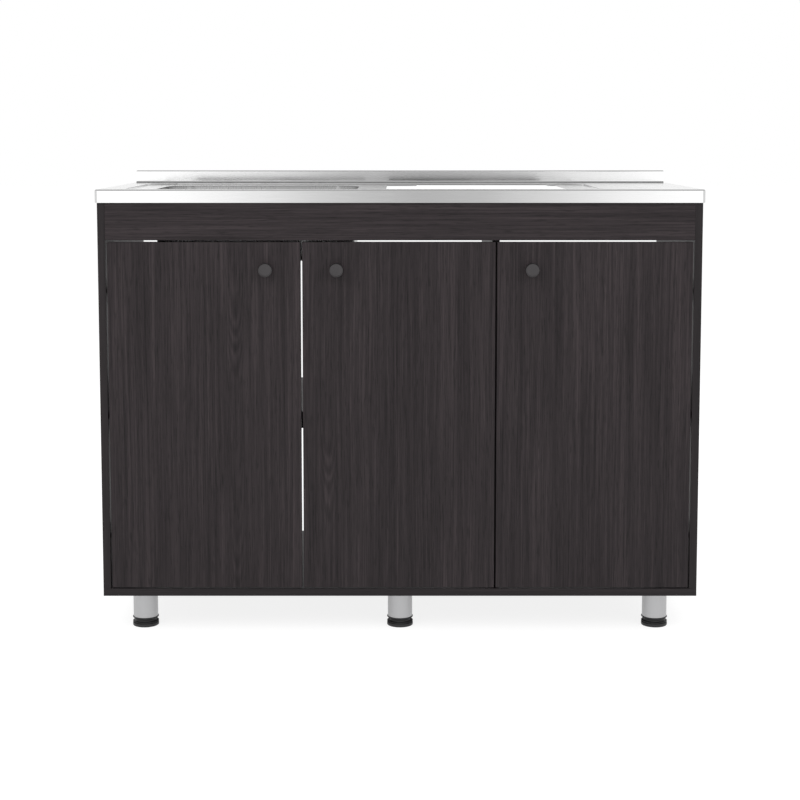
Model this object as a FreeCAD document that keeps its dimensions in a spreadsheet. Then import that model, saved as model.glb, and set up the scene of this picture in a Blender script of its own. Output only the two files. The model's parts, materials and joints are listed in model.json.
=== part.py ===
"""Kitchen base cabinet: three inset doors, six legs and a pressed steel worktop with a sink bowl.

The cabinet stands on the floor at z = 0. +X is to the right, the doors face -Y and +Z is up. The origin is
the middle of the overall box, at the floor. All sizes are millimetres and live in one sheet.
"""
import FreeCAD
import Part
import Sketcher
import math
import os

doc = FreeCAD.newDocument("base_cabinet")
sheet = doc.addObject("Spreadsheet::Sheet", "dims")
V = FreeCAD.Vector
UP, RIGHT, BACK = V(0, 0, 1), V(1, 0, 0), V(0, 1, 0)
LEFT, FRONT = V(-1, 0, 0), V(0, -1, 0)
row = 0


class Size:
    """A length: its number now, and the formula that ties it to the sheet."""

    def __init__(self, value, text):
        self.value, self.text = value, text

    def __add__(self, other):
        other = size(other)
        return Size(self.value + other.value, "(%s + %s)" % (self.text, other.text))

    def __sub__(self, other):
        other = size(other)
        return Size(self.value - other.value, "(%s - %s)" % (self.text, other.text))

    def __mul__(self, other):
        other = size(other)
        return Size(self.value * other.value, "(%s * %s)" % (self.text, other.text))

    def __truediv__(self, other):
        other = size(other)
        return Size(self.value / other.value, "(%s / %s)" % (self.text, other.text))

    def __radd__(self, other):
        return size(other) + self

    def __rsub__(self, other):
        return size(other) - self

    def __rmul__(self, other):
        return size(other) * self

    def __neg__(self):
        return size(0) - self


def size(number):
    return number if isinstance(number, Size) else Size(float(number), "(%r)" % float(number))


def cell(alias, text, value):
    global row
    row += 1
    sheet.set("A%d" % row, alias)
    sheet.set("B%d" % row, text)
    sheet.setAlias("B%d" % row, alias)
    return Size(float(value), "dims." + alias)


def dim(alias, value):
    """A driving dimension."""
    return cell(alias, str(value), value)


def derived(alias, formula):
    """A dimension worked out from others."""
    return cell(alias, "=" + formula.text.replace("dims.", ""), formula.value)


# Worktop
worktop_width = dim("worktop_width", 1200)
worktop_depth = dim("worktop_depth", 520)
worktop_top = dim("worktop_top", 896)
sheet_gauge = dim("sheet_gauge", 1)
apron_height = dim("apron_height", 26)
apron_bend = dim("apron_bend", 3)
apron_corner = dim("apron_corner", 6)
splash_height = dim("splash_height", 27)
splash_depth = dim("splash_depth", 9)
splash_cove = dim("splash_cove", 4)
splash_bend = dim("splash_bend", 2.5)
splash_inset = dim("splash_inset", 4)
recess_left_share = dim("recess_left_share", 0.46)
recess_left = derived("recess_left", worktop_width * recess_left_share)
recess_right_share = dim("recess_right_share", 0.335)
recess_right = derived("recess_right", worktop_width * recess_right_share)
recess_front = dim("recess_front", 32)
recess_rear_margin = dim("recess_rear_margin", 80)
recess_rear = derived("recess_rear", worktop_depth - recess_rear_margin)
recess_drop = dim("recess_drop", 2.5)
recess_corner = dim("recess_corner", 60)
recess_bend = dim("recess_bend", 1.2)
front_overhang = dim("front_overhang", 5)
rear_overhang = dim("rear_overhang", 15)
side_overhang = dim("side_overhang", 4)

# Sink bowl and waste
bowl_front = dim("bowl_front", 60)
bowl_end_margin = dim("bowl_end_margin", 54)
bowl_hob_gap = dim("bowl_hob_gap", 58)
bowl_rear_margin = dim("bowl_rear_margin", 86)
bowl_length = derived("bowl_length", recess_rear - bowl_front - bowl_rear_margin)
bowl_drop = dim("bowl_drop", 144)
bowl_corner = dim("bowl_corner", 55)
bowl_draft = dim("bowl_draft", 3)
bowl_floor_bend = dim("bowl_floor_bend", 28)
bowl_flange = dim("bowl_flange", 10)
drain_bore = dim("drain_bore", 90)
strainer_flange = dim("strainer_flange", 112)
strainer_body_drop = dim("strainer_body_drop", 50)
strainer_wall = dim("strainer_wall", 1.5)
strainer_clear = dim("strainer_clear", 0.5)
tail_diameter = dim("tail_diameter", 47.8)
tail_bore = dim("tail_bore", 43)
tail_drop = dim("tail_drop", 42)
gasket_thickness = dim("gasket_thickness", 3)
gasket_diameter = dim("gasket_diameter", 116)
nut_thickness = dim("nut_thickness", 10)
nut_diameter = dim("nut_diameter", 120)
nut_clear = dim("nut_clear", 0.2)

# Tap holes and hob cut-out
tap_bore = dim("tap_bore", 35)
tap_spacing = dim("tap_spacing", 101.6)
tap_rear_margin = dim("tap_rear_margin", 50)
tap_line = derived("tap_line", worktop_depth - tap_rear_margin)
hob_width = dim("hob_width", 364)
hob_end_margin = dim("hob_end_margin", 66)
hob_right = derived("hob_right", recess_right - hob_end_margin)
hob_left = derived("hob_left", hob_right - hob_width)
bowl_width = derived("bowl_width", hob_left - bowl_hob_gap + recess_left - bowl_end_margin)
bowl_centre = derived("bowl_centre", bowl_end_margin - recess_left + bowl_width / 2)
hob_front = dim("hob_front", 40)
hob_shoulder_margin = dim("hob_shoulder_margin", 81)
hob_shoulder = derived("hob_shoulder", recess_rear - hob_shoulder_margin)
hob_rear_margin = dim("hob_rear_margin", 15)
hob_rear = derived("hob_rear", recess_rear - hob_rear_margin)
hob_left_step = dim("hob_left_step", 64)
hob_rear_left = derived("hob_rear_left", hob_left + hob_left_step)
hob_right_step = dim("hob_right_step", 16)
hob_rear_right = derived("hob_rear_right", hob_right - hob_right_step)
hob_tab_width = dim("hob_tab_width", 18)
hob_tab_depth = dim("hob_tab_depth", 6)
hob_tab_inset = dim("hob_tab_inset", 58)
cut_overlap = dim("cut_overlap", 1)

# Carcass
board = dim("board", 15)
edge_ease = dim("edge_ease", 0.6)
carcass_depth = derived("carcass_depth", worktop_depth - front_overhang - rear_overhang)
leg_height = dim("leg_height", 80)
rail_drop = dim("rail_drop", 100)
partition_hob_inset = dim("partition_hob_inset", 145.75)
partition_x = derived("partition_x", hob_right - partition_hob_inset)
partition_top_drop = dim("partition_top_drop", 60)
partition_nose_drop = dim("partition_nose_drop", 96)
partition_rear_setback = dim("partition_rear_setback", 50)
shelf_top = dim("shelf_top", 452)
rear_rail_height = dim("rear_rail_height", 100)

# Doors
door_thickness = dim("door_thickness", 15)
side_gap = dim("side_gap", 3)
door_gap = dim("door_gap", 3.5)
door_top_gap = dim("door_top_gap", 3.5)
door_bottom_gap = dim("door_bottom_gap", 2.5)
inner_clear = dim("inner_clear", 6.5)

# Knobs
knob_projection = dim("knob_projection", 25)
knob_diameter = dim("knob_diameter", 28)
knob_neck = dim("knob_neck", 14)
knob_base = dim("knob_base", 19)
knob_base_rise = dim("knob_base_rise", 3)
knob_rim = dim("knob_rim", 4)
knob_crown = dim("knob_crown", 2)
knob_edge_inset = dim("knob_edge_inset", 68)
knob_top_inset = dim("knob_top_inset", 54)
knob_screw = dim("knob_screw", 4)
knob_screw_reach = dim("knob_screw_reach", 12)
knob_screw_clear = dim("knob_screw_clear", 0.05)
knob_screw_bore = dim("knob_screw_bore", 4.6)
knob_screw_head = dim("knob_screw_head", 8)
knob_screw_head_rise = dim("knob_screw_head_rise", 2.4)

# Hinges, measured from the hinge pin: across the door, to the rear and up
hinge_inset = dim("hinge_inset", 100)
pin_inset = dim("pin_inset", 10.5)
pin_depth = dim("pin_depth", 8)
pin_diameter = dim("pin_diameter", 3)
pin_length = dim("pin_length", 24.6)
pin_tip = dim("pin_tip", 1)
pin_run_clear = dim("pin_run_clear", 0.05)
pin_hold_clear = dim("pin_hold_clear", 0.02)
cup_diameter = dim("cup_diameter", 35)
cup_depth = dim("cup_depth", 11.5)
cup_tab = dim("cup_tab", 4.5)
cup_wall = dim("cup_wall", 0.8)
cup_floor = dim("cup_floor", 0.6)
cup_clear = dim("cup_clear", 0.1)
cup_flange_width = dim("cup_flange_width", 26)
cup_flange_height = dim("cup_flange_height", 60)
cup_flange_thickness = dim("cup_flange_thickness", 1)
cup_flange_corner = dim("cup_flange_corner", 6)
cup_screw_pitch = dim("cup_screw_pitch", 48)
arm_width = dim("arm_width", 10)
arm_strip = dim("arm_strip", 2.2)
arm_eye = dim("arm_eye", 5.2)
arm_crank = dim("arm_crank", 12)
arm_crank_rise = dim("arm_crank_rise", 19)
arm_shoulder = dim("arm_shoulder", 27)
arm_end = dim("arm_end", 62)
arm_base = dim("arm_base", 5)
plate_thickness = dim("plate_thickness", 6)
plate_start = dim("plate_start", 30)
plate_length = dim("plate_length", 30)
plate_height = dim("plate_height", 46)
plate_corner = dim("plate_corner", 4)
plate_screw_pitch = dim("plate_screw_pitch", 32)
arm_screw = dim("arm_screw", 4.8)
arm_screw_head = dim("arm_screw_head", 8)
arm_screw_head_rise = dim("arm_screw_head_rise", 2.2)
arm_screw_reach = dim("arm_screw_reach", 5)

# Fasteners in the boards
wood_screw = dim("wood_screw", 3.8)
wood_screw_head = dim("wood_screw_head", 7.2)
wood_screw_head_rise = dim("wood_screw_head_rise", 2)
wood_screw_reach = dim("wood_screw_reach", 10)
screw_clear = dim("screw_clear", 0.05)
screw_tip_clear = dim("screw_tip_clear", 0.3)
cam_diameter = dim("cam_diameter", 15)
cam_thickness = dim("cam_thickness", 12)
cam_offset = dim("cam_offset", 34)
cam_bolt = dim("cam_bolt", 6.8)
cam_bolt_reach = dim("cam_bolt_reach", 11)
bottom_screw = dim("bottom_screw", 6.6)
bottom_screw_reach = dim("bottom_screw_reach", 35)
bottom_screw_head = dim("bottom_screw_head", 10)
bottom_screw_head_rise = dim("bottom_screw_head_rise", 3)
dowel_diameter = dim("dowel_diameter", 8)
dowel_in_rail = dim("dowel_in_rail", 11)
dowel_in_partition = dim("dowel_in_partition", 19)
dowel_pitch = dim("dowel_pitch", 18)
bracket_width = dim("bracket_width", 30)
bracket_leg = dim("bracket_leg", 22)
bracket_gauge = dim("bracket_gauge", 2)
bracket_screw_drop = dim("bracket_screw_drop", 13.2)
fixing_front = dim("fixing_front", 80)
fixing_rear_margin = dim("fixing_rear_margin", 100)
fixing_rear = derived("fixing_rear", carcass_depth - fixing_rear_margin)
fixing_stagger = dim("fixing_stagger", 40)
bracket_front = dim("bracket_front", 110)
bracket_rear_margin = dim("bracket_rear_margin", 100)
bracket_rear = derived("bracket_rear", carcass_depth - bracket_rear_margin)
rail_bolt_pitch = dim("rail_bolt_pitch", 50)

# Legs
leg_diameter = dim("leg_diameter", 50)
leg_wall = dim("leg_wall", 2)
leg_side_inset = dim("leg_side_inset", 73)
leg_inset = dim("leg_inset", 75)
plug_length = dim("plug_length", 18)
plug_wall = dim("plug_wall", 2.5)
plug_cap = dim("plug_cap", 3)
plug_clear = dim("plug_clear", 0.2)
plug_screw_offset = dim("plug_screw_offset", 12)
socket_diameter = dim("socket_diameter", 53)
socket_bottom = dim("socket_bottom", 14.5)
socket_ring = dim("socket_ring", 4.5)
socket_lip = dim("socket_lip", 1.6)
socket_waist = dim("socket_waist", 47)
socket_length = dim("socket_length", 18)
socket_wall = dim("socket_wall", 2.8)
socket_floor = dim("socket_floor", 3)
socket_boss = dim("socket_boss", 16)
foot_diameter = dim("foot_diameter", 53)
foot_chamfer = dim("foot_chamfer", 1)
foot_disc = dim("foot_disc", 7)
foot_groove = dim("foot_groove", 1.5)
foot_groove_depth = dim("foot_groove_depth", 2.5)
foot_lip = dim("foot_lip", 1.5)
foot_neck = dim("foot_neck", 42)
foot_clear = dim("foot_clear", 0.3)
stem_diameter = dim("stem_diameter", 9.8)
stem_clear = dim("stem_clear", 0.05)
stem_top = dim("stem_top", 52)

# Planes that several pieces share
half_width = derived("half_width", worktop_width / 2 - side_overhang)
inner_half = derived("inner_half", half_width - board)
leg_spread = derived("leg_spread", half_width - leg_side_inset)
front = derived("front", (knob_projection + front_overhang - worktop_depth) / 2)
rear = derived("rear", front + carcass_depth)
apron_front = derived("apron_front", front - front_overhang)
inner_front = derived("inner_front", front + door_thickness + inner_clear)
floor_top = derived("floor_top", leg_height + board)
under_top = derived("under_top", worktop_top - sheet_gauge)
rail_bottom = derived("rail_bottom", worktop_top - rail_drop)
door_bottom = derived("door_bottom", floor_top + door_bottom_gap)
door_top = derived("door_top", rail_bottom - door_top_gap)
pair_left = derived("pair_left", side_gap - inner_half)
pair_right = derived("pair_right", partition_x - door_gap / 2)
pair_width = derived("pair_width", (pair_right - pair_left - door_gap) / 2)
shelf_under = derived("shelf_under", shelf_top - board)
pin_plane = derived("pin_plane", front + door_thickness - pin_depth)
doc.recompute()


def bind(thing, **formulas):
    """Tie properties to sizes."""
    for prop, length in formulas.items():
        thing.setExpression(prop, size(length).text)


def put(thing, at, direction=UP):
    """Place a thing: its z axis along direction, its origin tied to three sizes."""
    thing.Placement = FreeCAD.Placement(V(), FreeCAD.Rotation(UP, direction))
    for axis, length in zip("xyz", at):
        thing.setExpression("Placement.Base." + axis, size(length).text)


def new_body(label, at=(0, 0, 0), turn=None):
    """A body named label whose frame stands at three sizes, turned as given."""
    body = doc.addObject("PartDesign::Body", label)
    body.Label = label
    put(body, at)
    if turn is not None:
        body.Placement = FreeCAD.Placement(body.Placement.Base, turn)
    return body


def block(body, corner, extent, cut=False):
    """Add a box to a body, or cut it away."""
    kind = "PartDesign::SubtractiveBox" if cut else "PartDesign::AdditiveBox"
    feature = doc.addObject(kind, "block")
    body.addObject(feature)
    bind(feature, Length=extent[0], Width=extent[1], Height=extent[2])
    put(feature, corner)
    return feature


def rod(body, start, direction, diameter, length, cut=False):
    """Add a cylinder to a body, or cut it away."""
    kind = "PartDesign::SubtractiveCylinder" if cut else "PartDesign::AdditiveCylinder"
    feature = doc.addObject(kind, "rod")
    body.addObject(feature)
    bind(feature, Radius=size(diameter) / 2, Height=length)
    put(feature, start, direction)
    return feature


def bore(body, start, direction, diameter, depth):
    """Drill a body from start along direction."""
    return rod(body, start, direction, diameter, depth, cut=True)


def rounded(body, radius, wanted):
    """Round the edges of the body's last feature that wanted picks."""
    base = body.Tip
    doc.recompute()
    names = ["Edge%d" % (i + 1) for i, edge in enumerate(base.Shape.Edges) if wanted(edge)]
    feature = doc.addObject("PartDesign::Fillet", "rounded")
    body.addObject(feature)
    feature.Base = (base, names)
    bind(feature, Radius=radius)
    return feature


def upright(edge):
    start, end = edge.Vertexes[0].Point, edge.Vertexes[-1].Point
    return abs(start.x - end.x) < 1e-6 and abs(start.y - end.y) < 1e-6 and abs(start.z - end.z) > 1e-6


def plane_of(body, role):
    return [f for f in body.Origin.OriginFeatures if f.Role == role][0]


def new_sketch(body, role, offset=0):
    sketch = body.newObject("Sketcher::SketchObject", "profile")
    sketch.AttachmentSupport = (plane_of(body, role), [""])
    sketch.MapMode = "FlatFace"
    sketch.setExpression("AttachmentOffset.Base.z", size(offset).text)
    return sketch


def tie(sketch, kind, name, geometry, point, length):
    """Hold one point of a sketch at a distance from the sketch's origin."""
    if isinstance(length, int) and length == 0:
        axis = -2 if kind == "DistanceX" else -1
        sketch.addConstraint(Sketcher.Constraint("PointOnObject", geometry, point, axis))
        return
    length = size(length)
    index = sketch.addConstraint(Sketcher.Constraint(kind, -1, 1, geometry, point, length.value))
    sketch.renameConstraint(index, name)
    sketch.setExpression("Constraints." + name, length.text)


def polygon(body, role, points, offset=0):
    """A closed sketch through points given as pairs of sizes."""
    sketch = new_sketch(body, role, offset)
    spots = [V(size(x).value, size(y).value, 0) for x, y in points]
    count = len(spots)
    for i in range(count):
        sketch.addGeometry(Part.LineSegment(spots[i], spots[(i + 1) % count]), False)
    for i in range(count):
        sketch.addConstraint(Sketcher.Constraint("Coincident", i, 2, (i + 1) % count, 1))
    for i, (x, y) in enumerate(points):
        tie(sketch, "DistanceX", "x%d" % i, i, 1, x)
        tie(sketch, "DistanceY", "y%d" % i, i, 1, y)
    return sketch


def round_rectangle(body, left, right, low, high, radius, offset=0):
    """A closed sketch in the XY plane: a rectangle with rounded corners."""
    sketch = new_sketch(body, "XY_Plane", offset)
    x0, x1, y0, y1, r = [size(s).value for s in (left, right, low, high, radius)]
    quarter = math.pi / 2
    for start, end in (((x0 + r, y0), (x1 - r, y0)), ((x1, y0 + r), (x1, y1 - r)),
                       ((x1 - r, y1), (x0 + r, y1)), ((x0, y1 - r), (x0, y0 + r))):
        sketch.addGeometry(Part.LineSegment(V(*start, 0), V(*end, 0)), False)
    for i, centre in enumerate(((x1 - r, y0 + r), (x1 - r, y1 - r), (x0 + r, y1 - r), (x0 + r, y0 + r))):
        circle = Part.Circle(V(*centre, 0), UP, r)
        sketch.addGeometry(Part.ArcOfCircle(circle, (i - 1) * quarter, i * quarter), False)
    for i in range(4):
        sketch.addConstraint(Sketcher.Constraint("Tangent", i, 2, 4 + i, 1))
        sketch.addConstraint(Sketcher.Constraint("Tangent", 4 + i, 2, (i + 1) % 4, 1))
        sketch.addConstraint(Sketcher.Constraint("Vertical" if i % 2 else "Horizontal", i))
        if i:
            sketch.addConstraint(Sketcher.Constraint("Equal", 4, 4 + i))
    index = sketch.addConstraint(Sketcher.Constraint("Radius", 4, r))
    sketch.renameConstraint(index, "corner")
    sketch.setExpression("Constraints.corner", size(radius).text)
    tie(sketch, "DistanceY", "low", 0, 1, low)
    tie(sketch, "DistanceX", "right", 1, 1, right)
    tie(sketch, "DistanceY", "high", 2, 1, high)
    tie(sketch, "DistanceX", "left", 3, 1, left)
    return sketch


def pad(body, sketch, length, down=False, symmetric=False, taper=None):
    feature = body.newObject("PartDesign::Pad", "pad")
    feature.Profile = sketch
    feature.Reversed = down
    if symmetric:
        feature.SideType = "Symmetric"
    bind(feature, Length=length)
    if taper is not None:
        bind(feature, TaperAngle=-taper)
    return feature


def pocket(body, sketch, length, taper=None):
    feature = body.newObject("PartDesign::Pocket", "pocket")
    feature.Profile = sketch
    bind(feature, Length=length)
    if taper is not None:
        bind(feature, TaperAngle=-taper)
    return feature


def turned(label, profile, at, turn=None):
    """A piece turned about its own z axis, from pairs of radius and height."""
    body = new_body(label, at, turn)
    sketch = polygon(body, "XZ_Plane", profile)
    feature = body.newObject("PartDesign::Revolution", "turned")
    feature.Profile = sketch
    feature.ReferenceAxis = (sketch, ["V_Axis"])
    feature.Angle = 360
    return body


def panel(label, low, high):
    """An edge-banded board between two corners."""
    body = new_body(label)
    block(body, low, [size(b) - a for a, b in zip(low, high)])
    rounded(body, edge_ease, lambda edge: True)
    return body


def screw(at, direction, head, head_rise, shank, reach):
    """A screw with its head's outer face at a point, driven along direction."""
    body = new_body("screw")
    rod(body, at, direction, head, head_rise)
    step = [size(c) + head_rise * d for c, d in zip(at, direction)]
    rod(body, step, direction, shank, reach)
    return body


def group(label, pieces):
    """Several like pieces kept together under one name."""
    bundle = doc.addObject("Part::Compound", label)
    bundle.Label = label
    bundle.Links = pieces
    nodes[label] = bundle


nodes = {}


def node(body):
    nodes[body.Label] = body
    return body


# Carcass boards
left_side = node(panel("left_side_panel", (-half_width, front, floor_top), (-inner_half, rear, under_top)))
right_side = node(panel("right_side_panel", (inner_half, front, floor_top), (half_width, rear, under_top)))
bottom = node(panel("bottom_panel", (-half_width, front, leg_height), (half_width, rear, floor_top)))
top_rail = node(panel("front_top_rail", (-inner_half, front, rail_bottom),
                      (inner_half, front + board, under_top)))
rear_rail = node(panel("rear_rail", (-inner_half, rear - board, shelf_under - rear_rail_height),
                       (inner_half, rear, shelf_under)))
left_shelf = node(panel("left_shelf", (-inner_half, inner_front, shelf_under),
                        (partition_x - board / 2, rear, shelf_top)))
right_shelf = node(panel("right_shelf", (partition_x + board / 2, inner_front, shelf_under),
                         (inner_half, rear, shelf_top)))

# The partition stops below the hob; its nose reaches the top rail above the doors
partition = node(new_body("centre_partition", (partition_x, 0, 0)))
partition_top = worktop_top - partition_top_drop
partition_nose = worktop_top - partition_nose_drop
partition_rear = rear - partition_rear_setback
pad(partition, polygon(partition, "YZ_Plane", [
    (inner_front, floor_top), (partition_rear, floor_top), (partition_rear, partition_top),
    (front + board, partition_top), (front + board, partition_nose), (inner_front, partition_nose)]),
    board, symmetric=True)
rounded(partition, edge_ease, lambda edge: True)

# Cam joints: a disc in the end of one board draws in a bolt from the face of another
cams, bolts = [], []
cam_bore = cam_diameter + screw_clear * 2
bolt_bore = cam_bolt + screw_clear * 2


def cam_joint(end_board, faced, faced_x, face_x, into, y, z, cam_start, cam_direction):
    """Join the end of a board to the face at face_x; into is the way into that board's end."""
    reach = cam_offset - cam_diameter / 2 - screw_tip_clear
    cam_x = face_x + cam_offset * into
    direction = RIGHT if into > 0 else LEFT
    bore(end_board, (face_x, y, z), direction, bolt_bore, reach + screw_tip_clear)
    start = (cam_x,) + tuple(cam_start)
    bore(end_board, start, cam_direction, cam_bore, cam_thickness + screw_tip_clear)
    tip = cam_bolt_reach + screw_tip_clear
    bore(faced, (faced_x - tip * into, y, z), direction, bolt_bore, tip)
    bolt = new_body("bolt")
    rod(bolt, (face_x - cam_bolt_reach * into, y, z), direction, cam_bolt, reach + cam_bolt_reach)
    bolts.append(bolt)
    cam = new_body("cam")
    rod(cam, start, cam_direction, cam_diameter, cam_thickness)
    cams.append(cam)


rail_middle = (rail_bottom + under_top) / 2
rear_middle = shelf_under - rear_rail_height / 2
shelf_middle = shelf_top - board / 2
for into, side in ((1, left_side), (-1, right_side)):
    face = inner_half * -into
    for step in (-0.5, 0.5):
        z = rail_middle + rail_bolt_pitch * step
        cam_joint(top_rail, side, face, face, into, front + board / 2, z, (front + board, z), FRONT)
    cam_joint(rear_rail, side, face, face, into, rear - board / 2, rear_middle,
              (rear - board, rear_middle), BACK)
for shelf, into, side, face, stagger in (
        (left_shelf, 1, left_side, -inner_half, 0),
        (left_shelf, -1, partition, partition_x - board / 2, 0),
        (right_shelf, 1, partition, partition_x + board / 2, fixing_stagger),
        (right_shelf, -1, right_side, inner_half, fixing_stagger)):
    own_face = face - partition_x if side is partition else face
    for y in (front + fixing_front + stagger, front + fixing_rear - stagger):
        cam_joint(shelf, side, own_face, face, into, y, shelf_middle, (y, shelf_under), UP)
group("cam_discs", cams)
group("cam_bolts", bolts)

# Screws up through the bottom panel into the uprights
bottom_screws = []
head_bore = bottom_screw_head + screw_clear * 2
shank_bore = bottom_screw + screw_clear * 2
through = board - bottom_screw_head_rise
for upright_board, x, own_x, places in (
        (left_side, board / 2 - half_width, board / 2 - half_width, (fixing_front, fixing_rear)),
        (right_side, half_width - board / 2, half_width - board / 2, (fixing_front, fixing_rear)),
        (partition, partition_x, size(0), (fixing_front + fixing_stagger, fixing_rear - fixing_stagger))):
    for place in places:
        y = front + place
        bore(bottom, (x, y, leg_height), UP, head_bore, bottom_screw_head_rise)
        bore(bottom, (x, y, leg_height), UP, shank_bore, board)
        bore(upright_board, (own_x, y, floor_top), UP, shank_bore, bottom_screw_reach + screw_tip_clear)
        bottom_screws.append(screw((x, y, leg_height), UP, bottom_screw_head, bottom_screw_head_rise,
                                   bottom_screw, through + bottom_screw_reach))
group("bottom_screws", bottom_screws)

# Dowels between the top rail and the partition's nose
dowels = []
for step in (-0.5, 0.5):
    z = (partition_nose + partition_top) / 2 + dowel_pitch * step
    y = front + board
    bore(top_rail, (partition_x, y, z), FRONT, dowel_diameter + screw_clear * 2, dowel_in_rail + screw_tip_clear)
    bore(partition, (0, y, z), BACK, dowel_diameter + screw_clear * 2, dowel_in_partition + screw_tip_clear)
    dowel = new_body("dowel")
    rod(dowel, (partition_x, y - dowel_in_rail, z), BACK, dowel_diameter, dowel_in_rail + dowel_in_partition)
    dowels.append(dowel)
group("partition_dowels", dowels)


def hollow(body, inside):
    """Cut a form, drawn in the same frame, out of a body."""
    doc.recompute()
    feature = body.newObject("PartDesign::Boolean", "hollow")
    feature.Type = "Cut"
    feature.setObjects([inside])


# Worktop: a pressed sheet. Its frame stands on the top face, at the middle of the apron's front
half_top = worktop_width / 2
splash_front = worktop_depth - splash_depth


def pressing(label, at, skin, below):
    """The pressed form, drawn in by skin on every side and reaching below the apron."""
    body = new_body(label, at)
    depth = skin.value
    block(body, (skin - half_top, skin, -apron_height - below),
          (worktop_width - skin * 2, worktop_depth - skin * 2, apron_height + below - skin))
    rounded(body, apron_corner - skin, lambda e: upright(e) and e.Vertexes[0].Point.y < depth + 1e-6)
    block(body, (splash_inset + skin - half_top, splash_front + skin, -skin),
          (worktop_width - (splash_inset + skin) * 2, splash_depth - skin * 2, splash_height))
    pocket(body, round_rectangle(body, -recess_left - skin, recess_right + skin, recess_front - skin,
                                 recess_rear + skin, recess_corner + skin, -skin), recess_drop)
    rounded(body, recess_bend + skin, lambda e: abs(e.CenterOfMass.z + depth + recess_drop.value) < 1e-6)
    rounded(body, recess_bend - skin, lambda e: abs(e.CenterOfMass.z + depth) < 1e-6
            and -recess_left.value - depth - 0.5 < e.CenterOfMass.x < recess_right.value + depth + 0.5
            and recess_front.value - depth - 0.5 < e.CenterOfMass.y < recess_rear.value + depth + 0.5)
    rounded(body, splash_cove + skin, lambda e: abs(e.CenterOfMass.z + depth) < 1e-6
            and abs(e.CenterOfMass.y - splash_front.value - depth) < 1e-6)
    rounded(body, splash_bend - skin, lambda e: abs(e.CenterOfMass.z - splash_height.value + depth) < 1e-6)
    rounded(body, apron_bend - skin, lambda e: abs(e.CenterOfMass.z + depth) < 1e-6
            and (e.CenterOfMass.y < apron_corner.value or abs(e.CenterOfMass.x) > half_top.value - depth - 1e-6))
    return body


worktop = node(pressing("worktop_sheet", (0, apron_front, worktop_top), size(0), size(0)))
hollow(worktop, pressing("worktop_inside", (0, 0, 0), sheet_gauge, sheet_gauge))
# The rear is open below the sheet, so pipes pass behind
block(worktop, (apron_bend - half_top, worktop_depth - sheet_gauge * 1.5, -apron_height * 2),
      (worktop_width - apron_bend * 2, sheet_gauge * 3, apron_height * 2 - sheet_gauge), cut=True)


def cut_out(left, right, near, far):
    """Cut through the sheet between two x and two distances behind the apron."""
    return block(worktop, (left, near, -apron_height), (size(right) - left, size(far) - near, apron_height * 2),
                 cut=True)


bowl_left, bowl_right = bowl_centre - bowl_width / 2, bowl_centre + bowl_width / 2
bowl_rear = bowl_front + bowl_length
pocket(worktop, round_rectangle(worktop, bowl_left, bowl_right, bowl_front, bowl_rear, bowl_corner),
       apron_height)
hob_sill = hob_front + hob_tab_depth
tab_left, tab_right = hob_left + hob_tab_inset, hob_rear_right - hob_tab_width
cut_out(hob_left, hob_right, hob_sill, hob_shoulder)
cut_out(hob_rear_left, hob_rear_right, hob_shoulder - cut_overlap, hob_rear)
for left, right in ((hob_left, tab_left), (tab_left + hob_tab_width, tab_right),
                    (tab_right + hob_tab_width, hob_right)):
    cut_out(left, right, hob_front, hob_sill + cut_overlap)
for step in (-1, 0, 1):
    bore(worktop, (bowl_centre + tap_spacing * step, tap_line, -apron_height), UP, tap_bore, apron_height * 2)

# Sink bowl, welded by its flange under the recess. Its frame stands on the flange's top face
bowl = node(new_body("sink_bowl", (bowl_centre, apron_front + bowl_front + bowl_length / 2,
                                   under_top - recess_drop)))
half_bowl, half_length = bowl_width / 2, bowl_length / 2


def bowl_outline(body, wider):
    return round_rectangle(body, -half_bowl - wider, half_bowl + wider, -half_length - wider,
                           half_length + wider, bowl_corner + wider)


def bowl_form(body, wider, drop, bend):
    """The bowl's drawn form, wider than its mouth all round by a wall."""
    pad(body, bowl_outline(body, wider), drop, down=True, taper=bowl_draft)
    rounded(body, bend, lambda e: abs(e.CenterOfMass.z + drop.value) < 1e-6)


pad(bowl, bowl_outline(bowl, bowl_flange), sheet_gauge, down=True)
bowl_form(bowl, sheet_gauge, bowl_drop, bowl_floor_bend)
inside = new_body("bowl_inside")
bowl_form(inside, size(0), bowl_drop - sheet_gauge, bowl_floor_bend - sheet_gauge)
hollow(bowl, inside)
bore(bowl, (0, 0, -bowl_drop * 1.5), UP, drain_bore, bowl_drop)

# Basket strainer in the drain
drain_y = apron_front + bowl_front + bowl_length / 2
drain_z = under_top - recess_drop - bowl_drop + sheet_gauge
neck = drain_bore / 2 - strainer_clear
node(turned("strainer_body", [
    (tail_bore / 2, -strainer_body_drop - tail_drop), (tail_diameter / 2, -strainer_body_drop - tail_drop),
    (tail_diameter / 2, -strainer_body_drop), (neck, -strainer_body_drop), (neck, 0),
    (strainer_flange / 2, 0), (strainer_flange / 2, strainer_wall), (neck - strainer_wall, strainer_wall),
    (neck - strainer_wall, strainer_wall - strainer_body_drop),
    (tail_bore / 2, strainer_wall - strainer_body_drop)], (bowl_centre, drain_y, drain_z)))
node(turned("strainer_gasket", [
    (neck + nut_clear, -sheet_gauge - gasket_thickness), (gasket_diameter / 2, -sheet_gauge - gasket_thickness),
    (gasket_diameter / 2, -sheet_gauge), (neck + nut_clear, -sheet_gauge)], (bowl_centre, drain_y, drain_z)))
nut_top = -sheet_gauge - gasket_thickness
node(turned("strainer_locknut", [
    (neck + nut_clear, nut_top - nut_thickness), (nut_diameter / 2, nut_top - nut_thickness),
    (nut_diameter / 2, nut_top), (neck + nut_clear, nut_top)], (bowl_centre, drain_y, drain_z)))

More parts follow.
